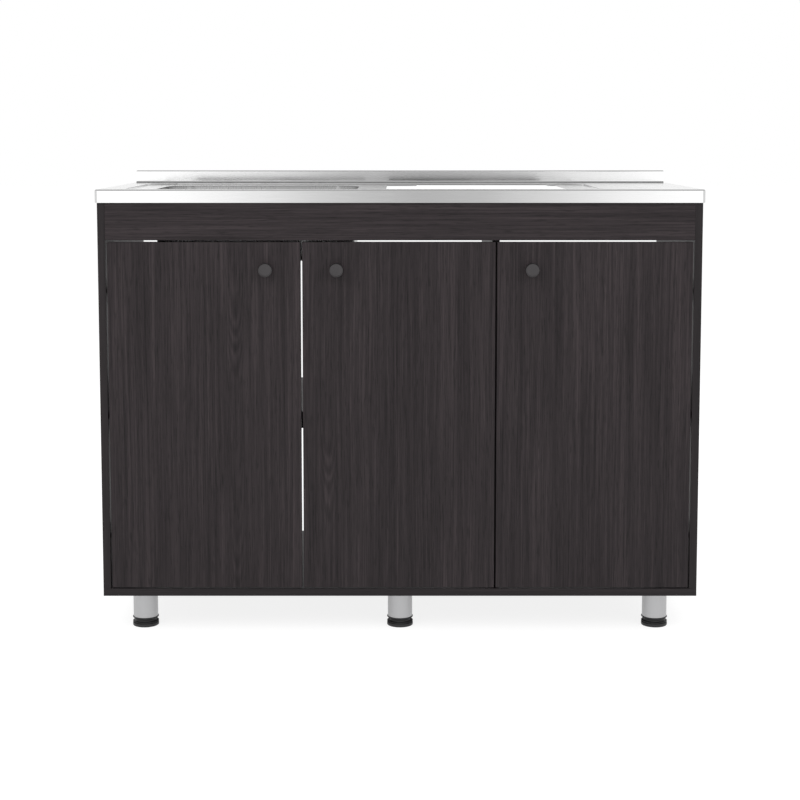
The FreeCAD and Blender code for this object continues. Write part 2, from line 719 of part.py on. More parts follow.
# Brackets that hold the worktop to the side panels
brackets, bracket_screws = [], []
for into, side in ((1, left_side), (-1, right_side)):
    for place in (bracket_front, bracket_rear):
        y = front + place
        turn = FreeCAD.Rotation(UP, 0 if into > 0 else 180)
        bracket = new_body("bracket", (inner_half * -into, y, under_top), turn)
        half_bracket = bracket_width / 2
        block(bracket, (0, -half_bracket, -bracket_gauge), (bracket_leg, bracket_width, bracket_gauge))
        block(bracket, (0, -half_bracket, -bracket_leg), (bracket_gauge, bracket_width, bracket_leg))
        z = under_top - bracket_screw_drop
        bore(bracket, (0, 0, -bracket_screw_drop), RIGHT, wood_screw + screw_clear * 2, bracket_gauge)
        direction = LEFT if into > 0 else RIGHT
        bore(side, (inner_half * -into, y, z), direction, wood_screw + screw_clear * 2,
             wood_screw_reach + screw_tip_clear)
        head_x = (bracket_gauge + wood_screw_head_rise - inner_half) * into
        bracket_screws.append(screw((head_x, y, z), direction, wood_screw_head, wood_screw_head_rise, wood_screw,
                                    bracket_gauge + wood_screw_reach))
        brackets.append(bracket)
group("worktop_brackets", brackets)
group("bracket_screws", bracket_screws)

# Doors with knobs and cup hinges. Each door is given by its hinge edge and the way to its free edge
half_turn = FreeCAD.Rotation(BACK, 180)
knob_turn = FreeCAD.Rotation(UP, FRONT)
screw_bore = wood_screw + screw_clear * 2
cup_reach = cup_tab + cup_diameter / 2
eye_bore = pin_diameter + pin_run_clear * 2
for name, low_x, high_x, into, carrier, face_x, own_x in (
        ("left", pair_left, pair_left + pair_width, 1, left_side, -inner_half, -inner_half),
        ("middle", pair_right - pair_width, pair_right, -1, partition, partition_x - board / 2, -board / 2),
        ("right", partition_x + door_gap / 2, inner_half - side_gap, -1, right_side, inner_half, inner_half)):
    door = node(panel(name + "_door", (low_x, front, door_bottom), (high_x, front + door_thickness, door_top)))
    hinge_edge, free_edge = (low_x, high_x) if into > 0 else (high_x, low_x)
    door_back = front + door_thickness

    # Knob
    knob_x = free_edge - knob_edge_inset * into
    knob_z = door_top - knob_top_inset
    bore(door, (knob_x, front, knob_z), BACK, knob_screw_bore, door_thickness)
    blind = knob_screw / 2 + knob_screw_clear
    knob = node(turned(name + "_knob", [
        (0, knob_screw_reach + screw_tip_clear), (blind, knob_screw_reach + screw_tip_clear), (blind, 0),
        (knob_base / 2, 0), (knob_base / 2, knob_base_rise), (knob_neck / 2, knob_base_rise * 2),
        (knob_neck / 2, knob_projection - knob_crown - knob_rim * 2),
        (knob_diameter / 2, knob_projection - knob_crown - knob_rim),
        (knob_diameter / 2, knob_projection - knob_crown),
        (knob_diameter / 2 - knob_crown, knob_projection), (0, knob_projection)],
        (knob_x, front, knob_z), knob_turn))
    knob_bolt = screw((knob_x, door_back + knob_screw_head_rise, knob_z), FRONT, knob_screw_head,
                      knob_screw_head_rise, knob_screw, door_thickness + knob_screw_reach)
    knob_bolt.Label = name + "_knob_screw"
    node(knob_bolt)

    # Two hinges
    cups, arms, plates, cup_screws, plate_screws = [], [], [], [], []
    pin_x = hinge_edge + pin_inset * into
    cup_x = cup_reach - pin_inset
    seat = (face_x - pin_x) * into + plate_thickness
    turn = FreeCAD.Rotation() if into > 0 else half_turn
    toward = LEFT if into > 0 else RIGHT
    for hinge_z in (door_bottom + hinge_inset, door_top - hinge_inset):
        frame = (pin_x, pin_plane, hinge_z)
        bore(door, (hinge_edge + cup_reach * into, door_back, hinge_z), FRONT, cup_diameter + cup_clear * 2,
             cup_depth + cup_clear)

        cup = new_body("cup", frame, turn)
        rod(cup, (cup_x, pin_depth, 0), FRONT, cup_diameter, cup_depth)
        block(cup, (cup_x - cup_flange_width / 2, pin_depth, cup_flange_height / -2),
              (cup_flange_width, cup_flange_thickness, cup_flange_height))
        rounded(cup, cup_flange_corner, lambda e: abs(e.Length - cup_flange_thickness.value) < 1e-6
                and e.BoundBox.YLength > e.BoundBox.XLength + e.BoundBox.ZLength)
        bore(cup, (cup_x, pin_depth + cup_flange_thickness, 0), FRONT, cup_diameter - cup_wall * 2,
             cup_depth + cup_flange_thickness - cup_floor)
        bore(cup, (0, 0, -pin_length), UP, pin_diameter + pin_hold_clear * 2, pin_length * 2)
        for step in (-0.5, 0.5):
            bore(cup, (cup_x, pin_depth, cup_screw_pitch * step), BACK, screw_bore, cup_flange_thickness)
            z = hinge_z + cup_screw_pitch * step
            x = hinge_edge + cup_reach * into
            bore(door, (x, door_back, z), FRONT, screw_bore, wood_screw_reach + screw_tip_clear)
            cup_screws.append(screw((x, door_back + cup_flange_thickness + wood_screw_head_rise, z), FRONT,
                                    wood_screw_head, wood_screw_head_rise, wood_screw,
                                    cup_flange_thickness + wood_screw_reach))
        cups.append(cup)

        pin = new_body("pin", frame)
        rod(pin, (0, 0, pin_length / -2), UP, pin_diameter, pin_length)
        rounded(pin, pin_tip, lambda e: not upright(e))
        cups.append(pin)

        # The arm leaves the cup, runs round the door's edge and lies on its plate
        arm = new_body("arm", frame, turn)
        low, high = arm_strip / -2, arm_strip / 2
        pad(arm, polygon(arm, "XY_Plane", [
            (0, low), (arm_crank + arm_strip, low), (arm_crank + arm_strip, arm_crank_rise + arm_strip),
            (seat + arm_base, arm_shoulder + arm_strip), (seat + arm_base, arm_end), (seat, arm_end),
            (seat, arm_shoulder), (arm_crank, arm_crank_rise), (arm_crank, high), (0, high)]),
            arm_width, symmetric=True)
        rod(arm, (0, 0, arm_width / -2), UP, arm_eye, arm_width)
        bore(arm, (0, 0, -arm_width), UP, eye_bore, arm_width * 2)
        middle = plate_start + plate_length / 2
        bore(arm, (seat, middle, 0), RIGHT, arm_screw + screw_clear * 4, arm_base)
        arms.append(arm)

        plate = new_body("plate", frame, turn)
        block(plate, (seat - plate_thickness, plate_start, plate_height / -2),
              (plate_thickness, plate_length, plate_height))
        rounded(plate, plate_corner, lambda e: e.BoundBox.XLength > e.BoundBox.YLength + e.BoundBox.ZLength)
        bore(plate, (seat - arm_screw_reach - screw_tip_clear, middle, 0), RIGHT, arm_screw + screw_clear * 2,
             arm_screw_reach + screw_tip_clear)
        y = pin_plane + middle
        for step in (-0.5, 0.5):
            lift = plate_screw_pitch * step
            bore(plate, (seat - plate_thickness, middle, lift), RIGHT, screw_bore, plate_thickness)
            bore(plate, (seat - wood_screw_head_rise, middle, lift), RIGHT, wood_screw_head + screw_clear * 2,
                 wood_screw_head_rise)
            bore(carrier, (own_x, y, hinge_z + lift), toward, screw_bore, wood_screw_reach + screw_tip_clear)
            plate_screws.append(screw((face_x + plate_thickness * into, y, hinge_z + lift), toward,
                                      wood_screw_head, wood_screw_head_rise, wood_screw,
                                      plate_thickness - wood_screw_head_rise + wood_screw_reach))
        plates.append(plate)
        plate_screws.append(screw((pin_x + (seat + arm_base + arm_screw_head_rise) * into, y, hinge_z), toward,
                                  arm_screw_head, arm_screw_head_rise, arm_screw, arm_base + arm_screw_reach))
    group(name + "_hinge_cups", cups)
    group(name + "_hinge_arms", arms)
    group(name + "_hinge_plates", plates)
    group(name + "_cup_screws", cup_screws)
    group(name + "_plate_screws", plate_screws)

# Legs: a tube over a plug under the bottom panel, and a socket that takes a levelling foot
plugs, plug_screws, sockets = [], [], []
tube_inside = leg_diameter / 2 - leg_wall
plug = tube_inside - plug_clear
tube_bottom = socket_bottom + socket_ring
stem = stem_diameter / 2
for depth_name, y in (("front", front + leg_inset), ("rear", rear - leg_inset)):
    for side_name, x in (("left", -leg_spread), ("middle", size(0)), ("right", leg_spread)):
        at = (x, y, 0)
        name = "%s_%s" % (depth_name, side_name)
        node(turned(name + "_leg", [(tube_inside, tube_bottom), (leg_diameter / 2, tube_bottom),
                                    (leg_diameter / 2, leg_height), (tube_inside, leg_height)], at))
        holder = turned("plug", [
            (0, leg_height - plug_cap), (plug - plug_wall, leg_height - plug_cap),
            (plug - plug_wall, leg_height - plug_length), (plug, leg_height - plug_length),
            (plug, leg_height), (0, leg_height)], at)
        for step in (-1, 1):
            offset = plug_screw_offset * step
            bore(holder, (offset, 0, leg_height - plug_cap), UP, screw_bore, plug_cap)
            bore(bottom, (x + offset, y, leg_height), UP, screw_bore, wood_screw_reach + screw_tip_clear)
            plug_screws.append(screw((x + offset, y, leg_height - plug_cap - wood_screw_head_rise), UP,
                                     wood_screw_head, wood_screw_head_rise, wood_screw,
                                     plug_cap + wood_screw_reach))
        plugs.append(holder)
        sockets.append(turned("socket", [
            (stem + stem_clear, socket_bottom), (socket_waist / 2, socket_bottom),
            (socket_diameter / 2, tube_bottom - socket_lip), (socket_diameter / 2, tube_bottom),
            (plug, tube_bottom), (plug, tube_bottom + socket_length),
            (plug - socket_wall, tube_bottom + socket_length), (plug - socket_wall, tube_bottom + socket_floor),
            (socket_boss / 2, tube_bottom + socket_floor), (socket_boss / 2, tube_bottom + socket_length),
            (stem + stem_clear, tube_bottom + socket_length)], at))
        foot = foot_diameter / 2
        groove_top = foot_disc + foot_groove
        node(turned(name + "_foot", [
            (0, 0), (foot - foot_chamfer, 0), (foot, foot_chamfer), (foot, foot_disc),
            (foot - foot_groove_depth, foot_disc), (foot - foot_groove_depth, groove_top),
            (foot, groove_top), (foot, groove_top + foot_lip), (foot_neck / 2, groove_top + foot_lip),
            (foot_neck / 2, socket_bottom - foot_clear), (stem, socket_bottom - foot_clear),
            (stem, stem_top), (0, stem_top)], at))
group("leg_plugs", plugs)
group("plug_screws", plug_screws)
group("leg_sockets", sockets)

doc.recompute()
for thing in doc.Objects:
    if "Invalid" in thing.State or "Error" in thing.State:
        raise RuntimeError("%s (%s) failed: %s" % (thing.Name, thing.Label, thing.State))
for label, piece in nodes.items():
    if piece.Shape.isNull() or not piece.Shape.isValid() or not piece.Shape.Solids:
        raise RuntimeError("%s has no sound shape" % label)
os.makedirs("parts", exist_ok=True)
for label, piece in nodes.items():
    piece.Shape.exportStep(os.path.join("parts", label + ".step"))
print("%d pieces, %d solids" % (len(nodes), sum(len(p.Shape.Solids) for p in nodes.values())))
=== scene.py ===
"""A sink base cabinet: dark board carcass, inset doors, pressed steel worktop and levelling legs.

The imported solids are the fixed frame, and the places of new pieces are read from them. This script gives
every board, sheet and fitting its finish, models the turned, perforated and slotted pieces over their solids,
and sets up a plain studio around them. Modelled sizes are millimetres, and the studio's are metres.
"""

import json
import logging
import math
from dataclasses import dataclass
from enum import Enum
from typing import ClassVar

import bpy
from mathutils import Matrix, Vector

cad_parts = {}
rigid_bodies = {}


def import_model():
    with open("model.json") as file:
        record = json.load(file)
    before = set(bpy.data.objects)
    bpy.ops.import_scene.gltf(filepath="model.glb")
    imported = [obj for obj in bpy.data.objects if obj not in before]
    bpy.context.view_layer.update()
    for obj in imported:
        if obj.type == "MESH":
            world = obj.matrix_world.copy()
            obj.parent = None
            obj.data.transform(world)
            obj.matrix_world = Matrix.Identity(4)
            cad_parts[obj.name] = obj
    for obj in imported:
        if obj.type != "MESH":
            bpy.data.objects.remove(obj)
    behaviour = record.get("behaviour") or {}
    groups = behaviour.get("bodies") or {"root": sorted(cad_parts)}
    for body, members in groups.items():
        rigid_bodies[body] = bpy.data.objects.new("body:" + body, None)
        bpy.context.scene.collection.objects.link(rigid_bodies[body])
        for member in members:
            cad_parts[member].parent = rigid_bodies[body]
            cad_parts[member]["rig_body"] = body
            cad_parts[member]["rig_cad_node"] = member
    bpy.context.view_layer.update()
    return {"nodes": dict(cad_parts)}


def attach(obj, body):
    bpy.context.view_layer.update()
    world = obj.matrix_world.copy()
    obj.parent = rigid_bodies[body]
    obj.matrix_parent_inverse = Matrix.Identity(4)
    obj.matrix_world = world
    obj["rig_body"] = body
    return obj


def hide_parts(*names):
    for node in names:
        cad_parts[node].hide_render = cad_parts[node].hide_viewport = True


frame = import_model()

ROOT = "carcass"
LOG = logging.getLogger("cabinet")

# Metres in a millimetre.
MM = 0.001
BACK, FORE = Vector((0, 1, 0)), Vector((0, -1, 0))
UP, DOWN = Vector((0, 0, 1)), Vector((0, 0, -1))
RIGHT = Vector((1, 0, 0))
ORIGIN = Vector((0, 0, 0))
FULL_TURN = math.tau
# Edges that turn by more than this stay sharp.
SMOOTH = math.radians(32)
# Corners this near to each other are merged, and after a cut a little further, in metres.
WELD = 1e-6
SLIVER = 4e-6
# Corners this near to the widest radius are on a head's rim, in millimetres.
RIM = 0.05

Colour = tuple[float, float, float, float]
Point = tuple[float, float, float]
Profile = list[tuple[float, float]]
Socket = bpy.types.NodeSocket
Material = bpy.types.Material
Thing = bpy.types.Object


def screen(red: int, green: int, blue: int) -> Colour:
    """Turn a colour as a screen shows it into linear values.

    Args:
        red, green, blue: the colour, each from 0 to 255.

    Returns:
        The linear colour with full alpha.
    """
    def linear(level: int) -> float:
        """One channel."""
        part = level / 255
        return part / 12.92 if part <= 0.04045 else ((part + 0.055) / 1.055) ** 2.4
    return linear(red), linear(green), linear(blue), 1.0


def grey(level: float) -> Colour:
    """A linear grey with full alpha."""
    return level, level, level, 1.0


class Tree:
    """A node tree being wired."""

    def __init__(self, tree: bpy.types.NodeTree) -> None:
        """Take hold of a tree's nodes and links."""
        self.nodes, self.links = tree.nodes, tree.links

    def feed(self, socket: Socket, value: object) -> None:
        """Give an input what it takes.

        Args:
            socket: the input.
            value: an output to link, or a plain value.
        """
        if isinstance(value, Socket):
            self.links.new(value, socket)
        else:
            socket.default_value = value

    def add(self, kind: str, inputs: dict[str | int, object], **settings: object) -> bpy.types.Node:
        """Add a node.

        Args:
            kind: the node's type.
            inputs: what each input, by name or index, takes.
            settings: the node's own options.

        Returns:
            The node.
        """
        node = self.nodes.new(kind)
        for key, value in settings.items():
            setattr(node, key, value)
        for key, value in inputs.items():
            self.feed(node.inputs[key], value)
        return node

    def maths(self, operation: str, first: object, second: object = 0.0) -> Socket:
        """One sum of two numbers."""
        return self.add("ShaderNodeMath", {0: first, 1: second}, operation=operation).outputs[0]

    def total(self, *weighted: tuple[Socket, float]) -> Socket:
        """Add numbers up.

        Args:
            weighted: each number and its weight.

        Returns:
            The weighted sum.
        """
        result = None
        for socket, weight in weighted:
            part = self.maths("MULTIPLY", socket, weight)
            result = part if result is None else self.maths("ADD", result, part)
        return result

    def ranged(self, value: Socket, source: tuple[float, float], target: tuple[float, float],
               easing: str = "LINEAR") -> Socket:
        """Carry a number from a source range over into a target range, and hold it there."""
        ends = {"From Min": source[0], "From Max": source[1], "To Min": target[0], "To Max": target[1]}
        return self.add("ShaderNodeMapRange", {"Value": value, **ends}, interpolation_type=easing).outputs[0]

    def seen(self) -> Socket:
        """Tell rays that show a surface from rays that light one.

        Returns:
            1 for rays from the camera, off a mirror or through glass, else 0.
        """
        path = self.nodes.new("ShaderNodeLightPath").outputs
        result = path["Is Camera Ray"]
        for name in ("Is Glossy Ray", "Is Transmission Ray"):
            result = self.maths("MAXIMUM", result, path[name])
        return result


class Recipe(Tree):
    """A material being mixed: one principled surface and the nodes that feed it."""

    def __init__(self, name: str) -> None:
        """Start a material.

        Args:
            name: what it is called.
        """
        self.material = bpy.data.materials.new(name)
        self.material.use_nodes = True
        super().__init__(self.material.node_tree)
        self.surface = self.nodes["Principled BSDF"]
        self.place = self.nodes.new("ShaderNodeTexCoord").outputs

    def stretch(self, vector: Socket, scale: Point, move: Point = (0, 0, 0)) -> Socket:
        """Scale and move a position."""
        return self.add("ShaderNodeMapping", {"Vector": vector, "Scale": scale, "Location": move}).outputs[0]

    def noise(self, vector: Socket, detail: float, roughness: float = 0.5, output: str = "Fac") -> Socket:
        """A noise over a position already in its own scale."""
        sockets = {"Vector": vector, "Scale": 1.0, "Detail": detail, "Roughness": roughness}
        return self.add("ShaderNodeTexNoise", sockets).outputs[output]

    def cloud(self, scale: Point, detail: float, roughness: float = 0.5) -> Socket:
        """A noise over the piece's own position."""
        return self.noise(self.stretch(self.place["Object"], scale), detail, roughness)

    def ramp(self, level: Socket, stops: list[tuple[float, Colour]]) -> Socket:
        """Turn a number into a colour.

        Args:
            level: the number.
            stops: positions and their colours, in order.

        Returns:
            The colour.
        """
        node = self.add("ShaderNodeValToRGB", {"Fac": level})
        elements = node.color_ramp.elements
        while len(elements) < len(stops):
            elements.new(0.5)
        for element, (position, colour) in zip(elements, stops):
            element.position, element.color = position, colour
        return node.outputs[0]

    def blend(self, share: object, first: object, second: object, mode: str = "MIX") -> Socket:
        """Mix two colours.

        Args:
            share: how much of the second there is.
            first, second: the colours.
            mode: how they mix.

        Returns:
            The mixed colour.
        """
        # Once the node mixes colours, it takes the share at 0 and the two colours at 6 and 7.
        node = self.add("ShaderNodeMix", {}, data_type="RGBA", blend_type=mode)
        for index, value in ((0, share), (6, first), (7, second)):
            self.feed(node.inputs[index], value)
        return node.outputs[2]

    def relief(self, height: Socket, depth: float, strength: float) -> None:
        """Raise the surface by a height map, depth metres at full height."""
        bump = self.add("ShaderNodeBump", {"Height": height, "Distance": depth, "Strength": strength})
        self.feed(self.surface.inputs["Normal"], bump.outputs[0])

    def coat(self, **sockets: object) -> Material:
        """Set the surface's inputs.

        Args:
            sockets: what each takes, its name with underscores for spaces.

        Returns:
            The finished material.
        """
        for name, value in sockets.items():
            self.feed(self.surface.inputs[name.replace("_", " ")], value)
        return self.material

    def show(self, shader: bpy.types.Node) -> Material:
        """Show another shader in place of the principled surface.

        Args:
            shader: the node whose first output is shown.

        Returns:
            The finished material.
        """
        self.links.new(shader.outputs[0], self.nodes["Material Output"].inputs["Surface"])
        self.nodes.remove(self.surface)
        return self.material


class Grain(Enum):
    """The axis that a board's grain runs along."""

    LEVEL = 0
    UPRIGHT = 2

    def scale(self, across: float, along: float) -> Point:
        """Stretch a pattern out along the grain.

        Args:
            across: the scale in the two other directions.
            along: the scale in the grain's own.

        Returns:
            The scale in all three.
        """
        parts = [across] * 3
        parts[self.value] = along
        return tuple(parts)


class Thin(Enum):
    """The axis through a board's thickness."""

    X = 0
    Y = 1
    Z = 2


@dataclass(frozen=True)
class Layer:
    """One layer of a printed grain: its scale across and along, its detail, its share and its roughness."""

    across: float
    along: float
    detail: float
    share: float
    roughness: float = 0.5


@dataclass(frozen=True)
class BoardFinish:
    """Dark printed melamine with long grain lines, short pores and a plain edge band.

    Flames are pointed arches along one line of a door's print: bow is how sharply they bend, rings how
    closely they follow each other, drift how far they wander, and reach half their width in metres.
    """

    name: str
    grain: Grain
    thin: Thin
    shift: Point
    flame: float | None = None
    dark: Colour = screen(25, 20, 22)
    middle: Colour = screen(41, 35, 37)
    light: Colour = screen(62, 54, 56)
    edge: Colour = screen(31, 28, 29)
    edge_print: float = 0.35
    fine: Layer = Layer(430, 5, 3, 0.42, 0.6)
    line: Layer = Layer(150, 2.2, 2, 0.33)
    band: Layer = Layer(26, 0.8, 2, 0.25)
    pore: Layer = Layer(800, 30, 1, 0.6)
    sway: Layer = Layer(9, 1.6, 2, 0.011)
    flame_share: float = 0.07
    flame_bow: float = 330.0
    flame_rings: float = 120.0
    flame_drift: float = 18.0
    flame_reach: float = 0.022
    drift_scale: Point = (4, 4, 6)
    patch_scale: Point = (1.5, 1.5, 3.1)
    pore_depth: float = 0.00012

    def pattern(self, recipe: Recipe, path: Socket, layer: Layer, output: str = "Fac") -> Socket:
        """One layer's pattern."""
        scaled = recipe.stretch(path, self.grain.scale(layer.across, layer.along))
        return recipe.noise(scaled, layer.detail, layer.roughness, output)

    def flames(self, recipe: Recipe, path: Socket) -> Socket:
        """Print narrow pointed arches here and there along one line.

        Args:
            recipe: the material being mixed.
            path: the position that the grain follows.

        Returns:
            A number that is 0 away from the arches.
        """
        parts = recipe.add("ShaderNodeSeparateXYZ", {0: path}).outputs
        aside = recipe.maths("SUBTRACT", parts["X"], self.flame)
        bow = recipe.maths("MULTIPLY", recipe.maths("MULTIPLY", aside, aside), self.flame_bow)
        rise = recipe.maths("SUBTRACT", parts["Z"], bow)
        drift = recipe.noise(recipe.stretch(path, self.drift_scale), 2)
        wave = recipe.maths("SINE", recipe.total((rise, self.flame_rings), (drift, self.flame_drift)))
        reach = recipe.maths("DIVIDE", recipe.maths("ABSOLUTE", aside), self.flame_reach)
        fade = recipe.maths("MAXIMUM", recipe.maths("SUBTRACT", 1.0, reach), 0.0)
        patch = recipe.noise(recipe.stretch(path, self.patch_scale), 1)
        shown = recipe.ramp(patch, [(0.44, grey(0.0)), (0.56, grey(1.0))])
        return recipe.maths("MULTIPLY", recipe.maths("MULTIPLY", wave, fade), shown)

    def build(self) -> Material:
        """Mix the print, its pores and the edge band.

        Returns:
            The material.
        """
        recipe = Recipe(self.name)
        spot = recipe.stretch(recipe.place["Object"], (1, 1, 1), self.shift)
        swing = self.pattern(recipe, spot, self.sway, "Color")
        path = recipe.add("ShaderNodeVectorMath", {0: swing, 1: (self.sway.share,) * 3, 2: spot},
                          operation="MULTIPLY_ADD").outputs[0]
        fine, line, band, pore = (self.pattern(recipe, path, layer)
                                  for layer in (self.fine, self.line, self.band, self.pore))
        tone = recipe.total((fine, self.fine.share), (line, self.line.share), (band, self.band.share))
        if self.flame is not None:
            flames = recipe.maths("MULTIPLY", self.flames(recipe, path), self.flame_share)
            tone = recipe.maths("ADD", tone, flames)
        plain = recipe.ramp(tone, [(0.34, self.dark), (0.5, self.middle), (0.68, self.light)])
        pits = recipe.ramp(pore, [(0.34, grey(0.55)), (0.44, grey(1.0))])
        printed = recipe.blend(1.0, plain, pits, "MULTIPLY")
        facing = recipe.add("ShaderNodeSeparateXYZ", {0: recipe.place["Normal"]}).outputs[self.thin.value]
        on_edge = recipe.maths("LESS_THAN", recipe.maths("ABSOLUTE", facing), 0.5)
        colour = recipe.blend(on_edge, printed, recipe.blend(self.edge_print, self.edge, printed))
        sheen = recipe.ramp(tone, [(0.3, grey(0.58)), (0.7, grey(0.44))])
        recipe.relief(recipe.total((pore, self.pore.share), (fine, 1.0)), self.pore_depth, 0.35)
        return recipe.coat(Base_Color=colour, Roughness=sheen, Specular_IOR_Level=0.2)


@dataclass(frozen=True)
class SheetFinish:
    """Stainless sheet: a mirror dulled by fine polishing lines."""

    name: str
    colour: Colour
    roughness: tuple[float, float]
    lines: Point
    depth: float
    cloud: Point = (7, 7, 7)
    shade: float = 0.93

    def build(self) -> Material:
        """Mix the polishing lines and the clouds between them.

        Returns:
            The material.
        """
        recipe = Recipe(self.name)
        stroke = recipe.cloud(self.lines, 2, 0.6)
        cloud = recipe.cloud(self.cloud, 3)
        low, high = self.roughness
        worn = recipe.total((stroke, 0.6), (cloud, 0.4))
        rough = recipe.ramp(worn, [(0.3, grey(low)), (0.7, grey(high))])
        shaded = tuple(part * self.shade for part in self.colour[:3]) + (1.0,)
        colour = recipe.ramp(worn, [(0.35, shaded), (0.65, self.colour)])
        recipe.relief(stroke, self.depth, 0.25)
        return recipe.coat(Base_Color=colour, Roughness=rough, Metallic=1.0)


@dataclass(frozen=True)
class PlatedFinish:
    """A small steel fitting with a bright or dull plating that clouds a little."""

    name: str
    colour: Colour
    dull: Colour
    roughness: float
    cells: float = 140.0
    spread: float = 0.12

    def build(self) -> Material:
        """Mix the clouded plating.

        Returns:
            The material.
        """
        recipe = Recipe(self.name)
        cloud = recipe.cloud((self.cells,) * 3, 3, 0.6)
        colour = recipe.ramp(cloud, [(0.35, self.dull), (0.65, self.colour)])
        rough = recipe.ramp(cloud, [(0.3, grey(self.roughness + self.spread)), (0.7, grey(self.roughness))])
        return recipe.coat(Base_Color=colour, Roughness=rough, Metallic=1.0)


@dataclass(frozen=True)
class MouldedFinish:
    """Moulded plastic or rubber with a fine spark-eroded grain."""

    name: str
    colour: Colour
    worn: Colour
    roughness: float
    grain: float = 1400.0
    cloud: float = 60.0
    spread: float = 0.08
    depth: float = 0.00008

    def build(self) -> Material:
        """Mix the grain and a slow change of tone.

        Returns:
            The material.
        """
        recipe = Recipe(self.name)
        speck = recipe.cloud((self.grain,) * 3, 2)
        cloud = recipe.cloud((self.cloud,) * 3, 3)
        mixed = recipe.total((speck, 0.5), (cloud, 0.5))
        colour = recipe.ramp(mixed, [(0.35, self.colour), (0.65, self.worn)])
        low, high = self.roughness - self.spread, self.roughness + self.spread
        rough = recipe.ramp(cloud, [(0.3, grey(low)), (0.7, grey(high))])
        recipe.relief(speck, self.depth, 0.3)
        return recipe.coat(Base_Color=colour, Roughness=rough, Specular_IOR_Level=0.35)


@dataclass(frozen=True)
class TimberFinish:
    """Plain turned beech."""

    name: str
    pale: Colour = screen(214, 178, 132)
    fleck: Colour = screen(176, 134, 92)
    lines: Point = (700, 60, 700)
    depth: float = 0.0001

    def build(self) -> Material:
        """Mix the flecked timber.

        Returns:
            The material.
        """
        recipe = Recipe(self.name)
        fleck = recipe.cloud(self.lines, 2)
        colour = recipe.ramp(fleck, [(0.35, self.fleck), (0.65, self.pale)])
        recipe.relief(fleck, self.depth, 0.3)
        return recipe.coat(Base_Color=colour, Roughness=0.65)


@dataclass(frozen=True)
class Box:
    """The space that a solid takes up, in millimetres."""

    low: Vector
    high: Vector

    @classmethod
    def around(cls, points: list[Vector]) -> "Box":
        """The box round some points."""
        columns = list(zip(*points))
        return cls(Vector([min(column) for column in columns]), Vector([max(column) for column in columns]))

    @classmethod
    def of(cls, node: str) -> "Box":
        """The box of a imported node."""
        return cls.around([vertex.co / MM for vertex in frame["nodes"][node].data.vertices])

    @property
    def middle(self) -> Vector:
        """Its middle."""
        return (self.low + self.high) / 2

    @property
    def span(self) -> Vector:
        """Its three sides."""
        return self.high - self.low


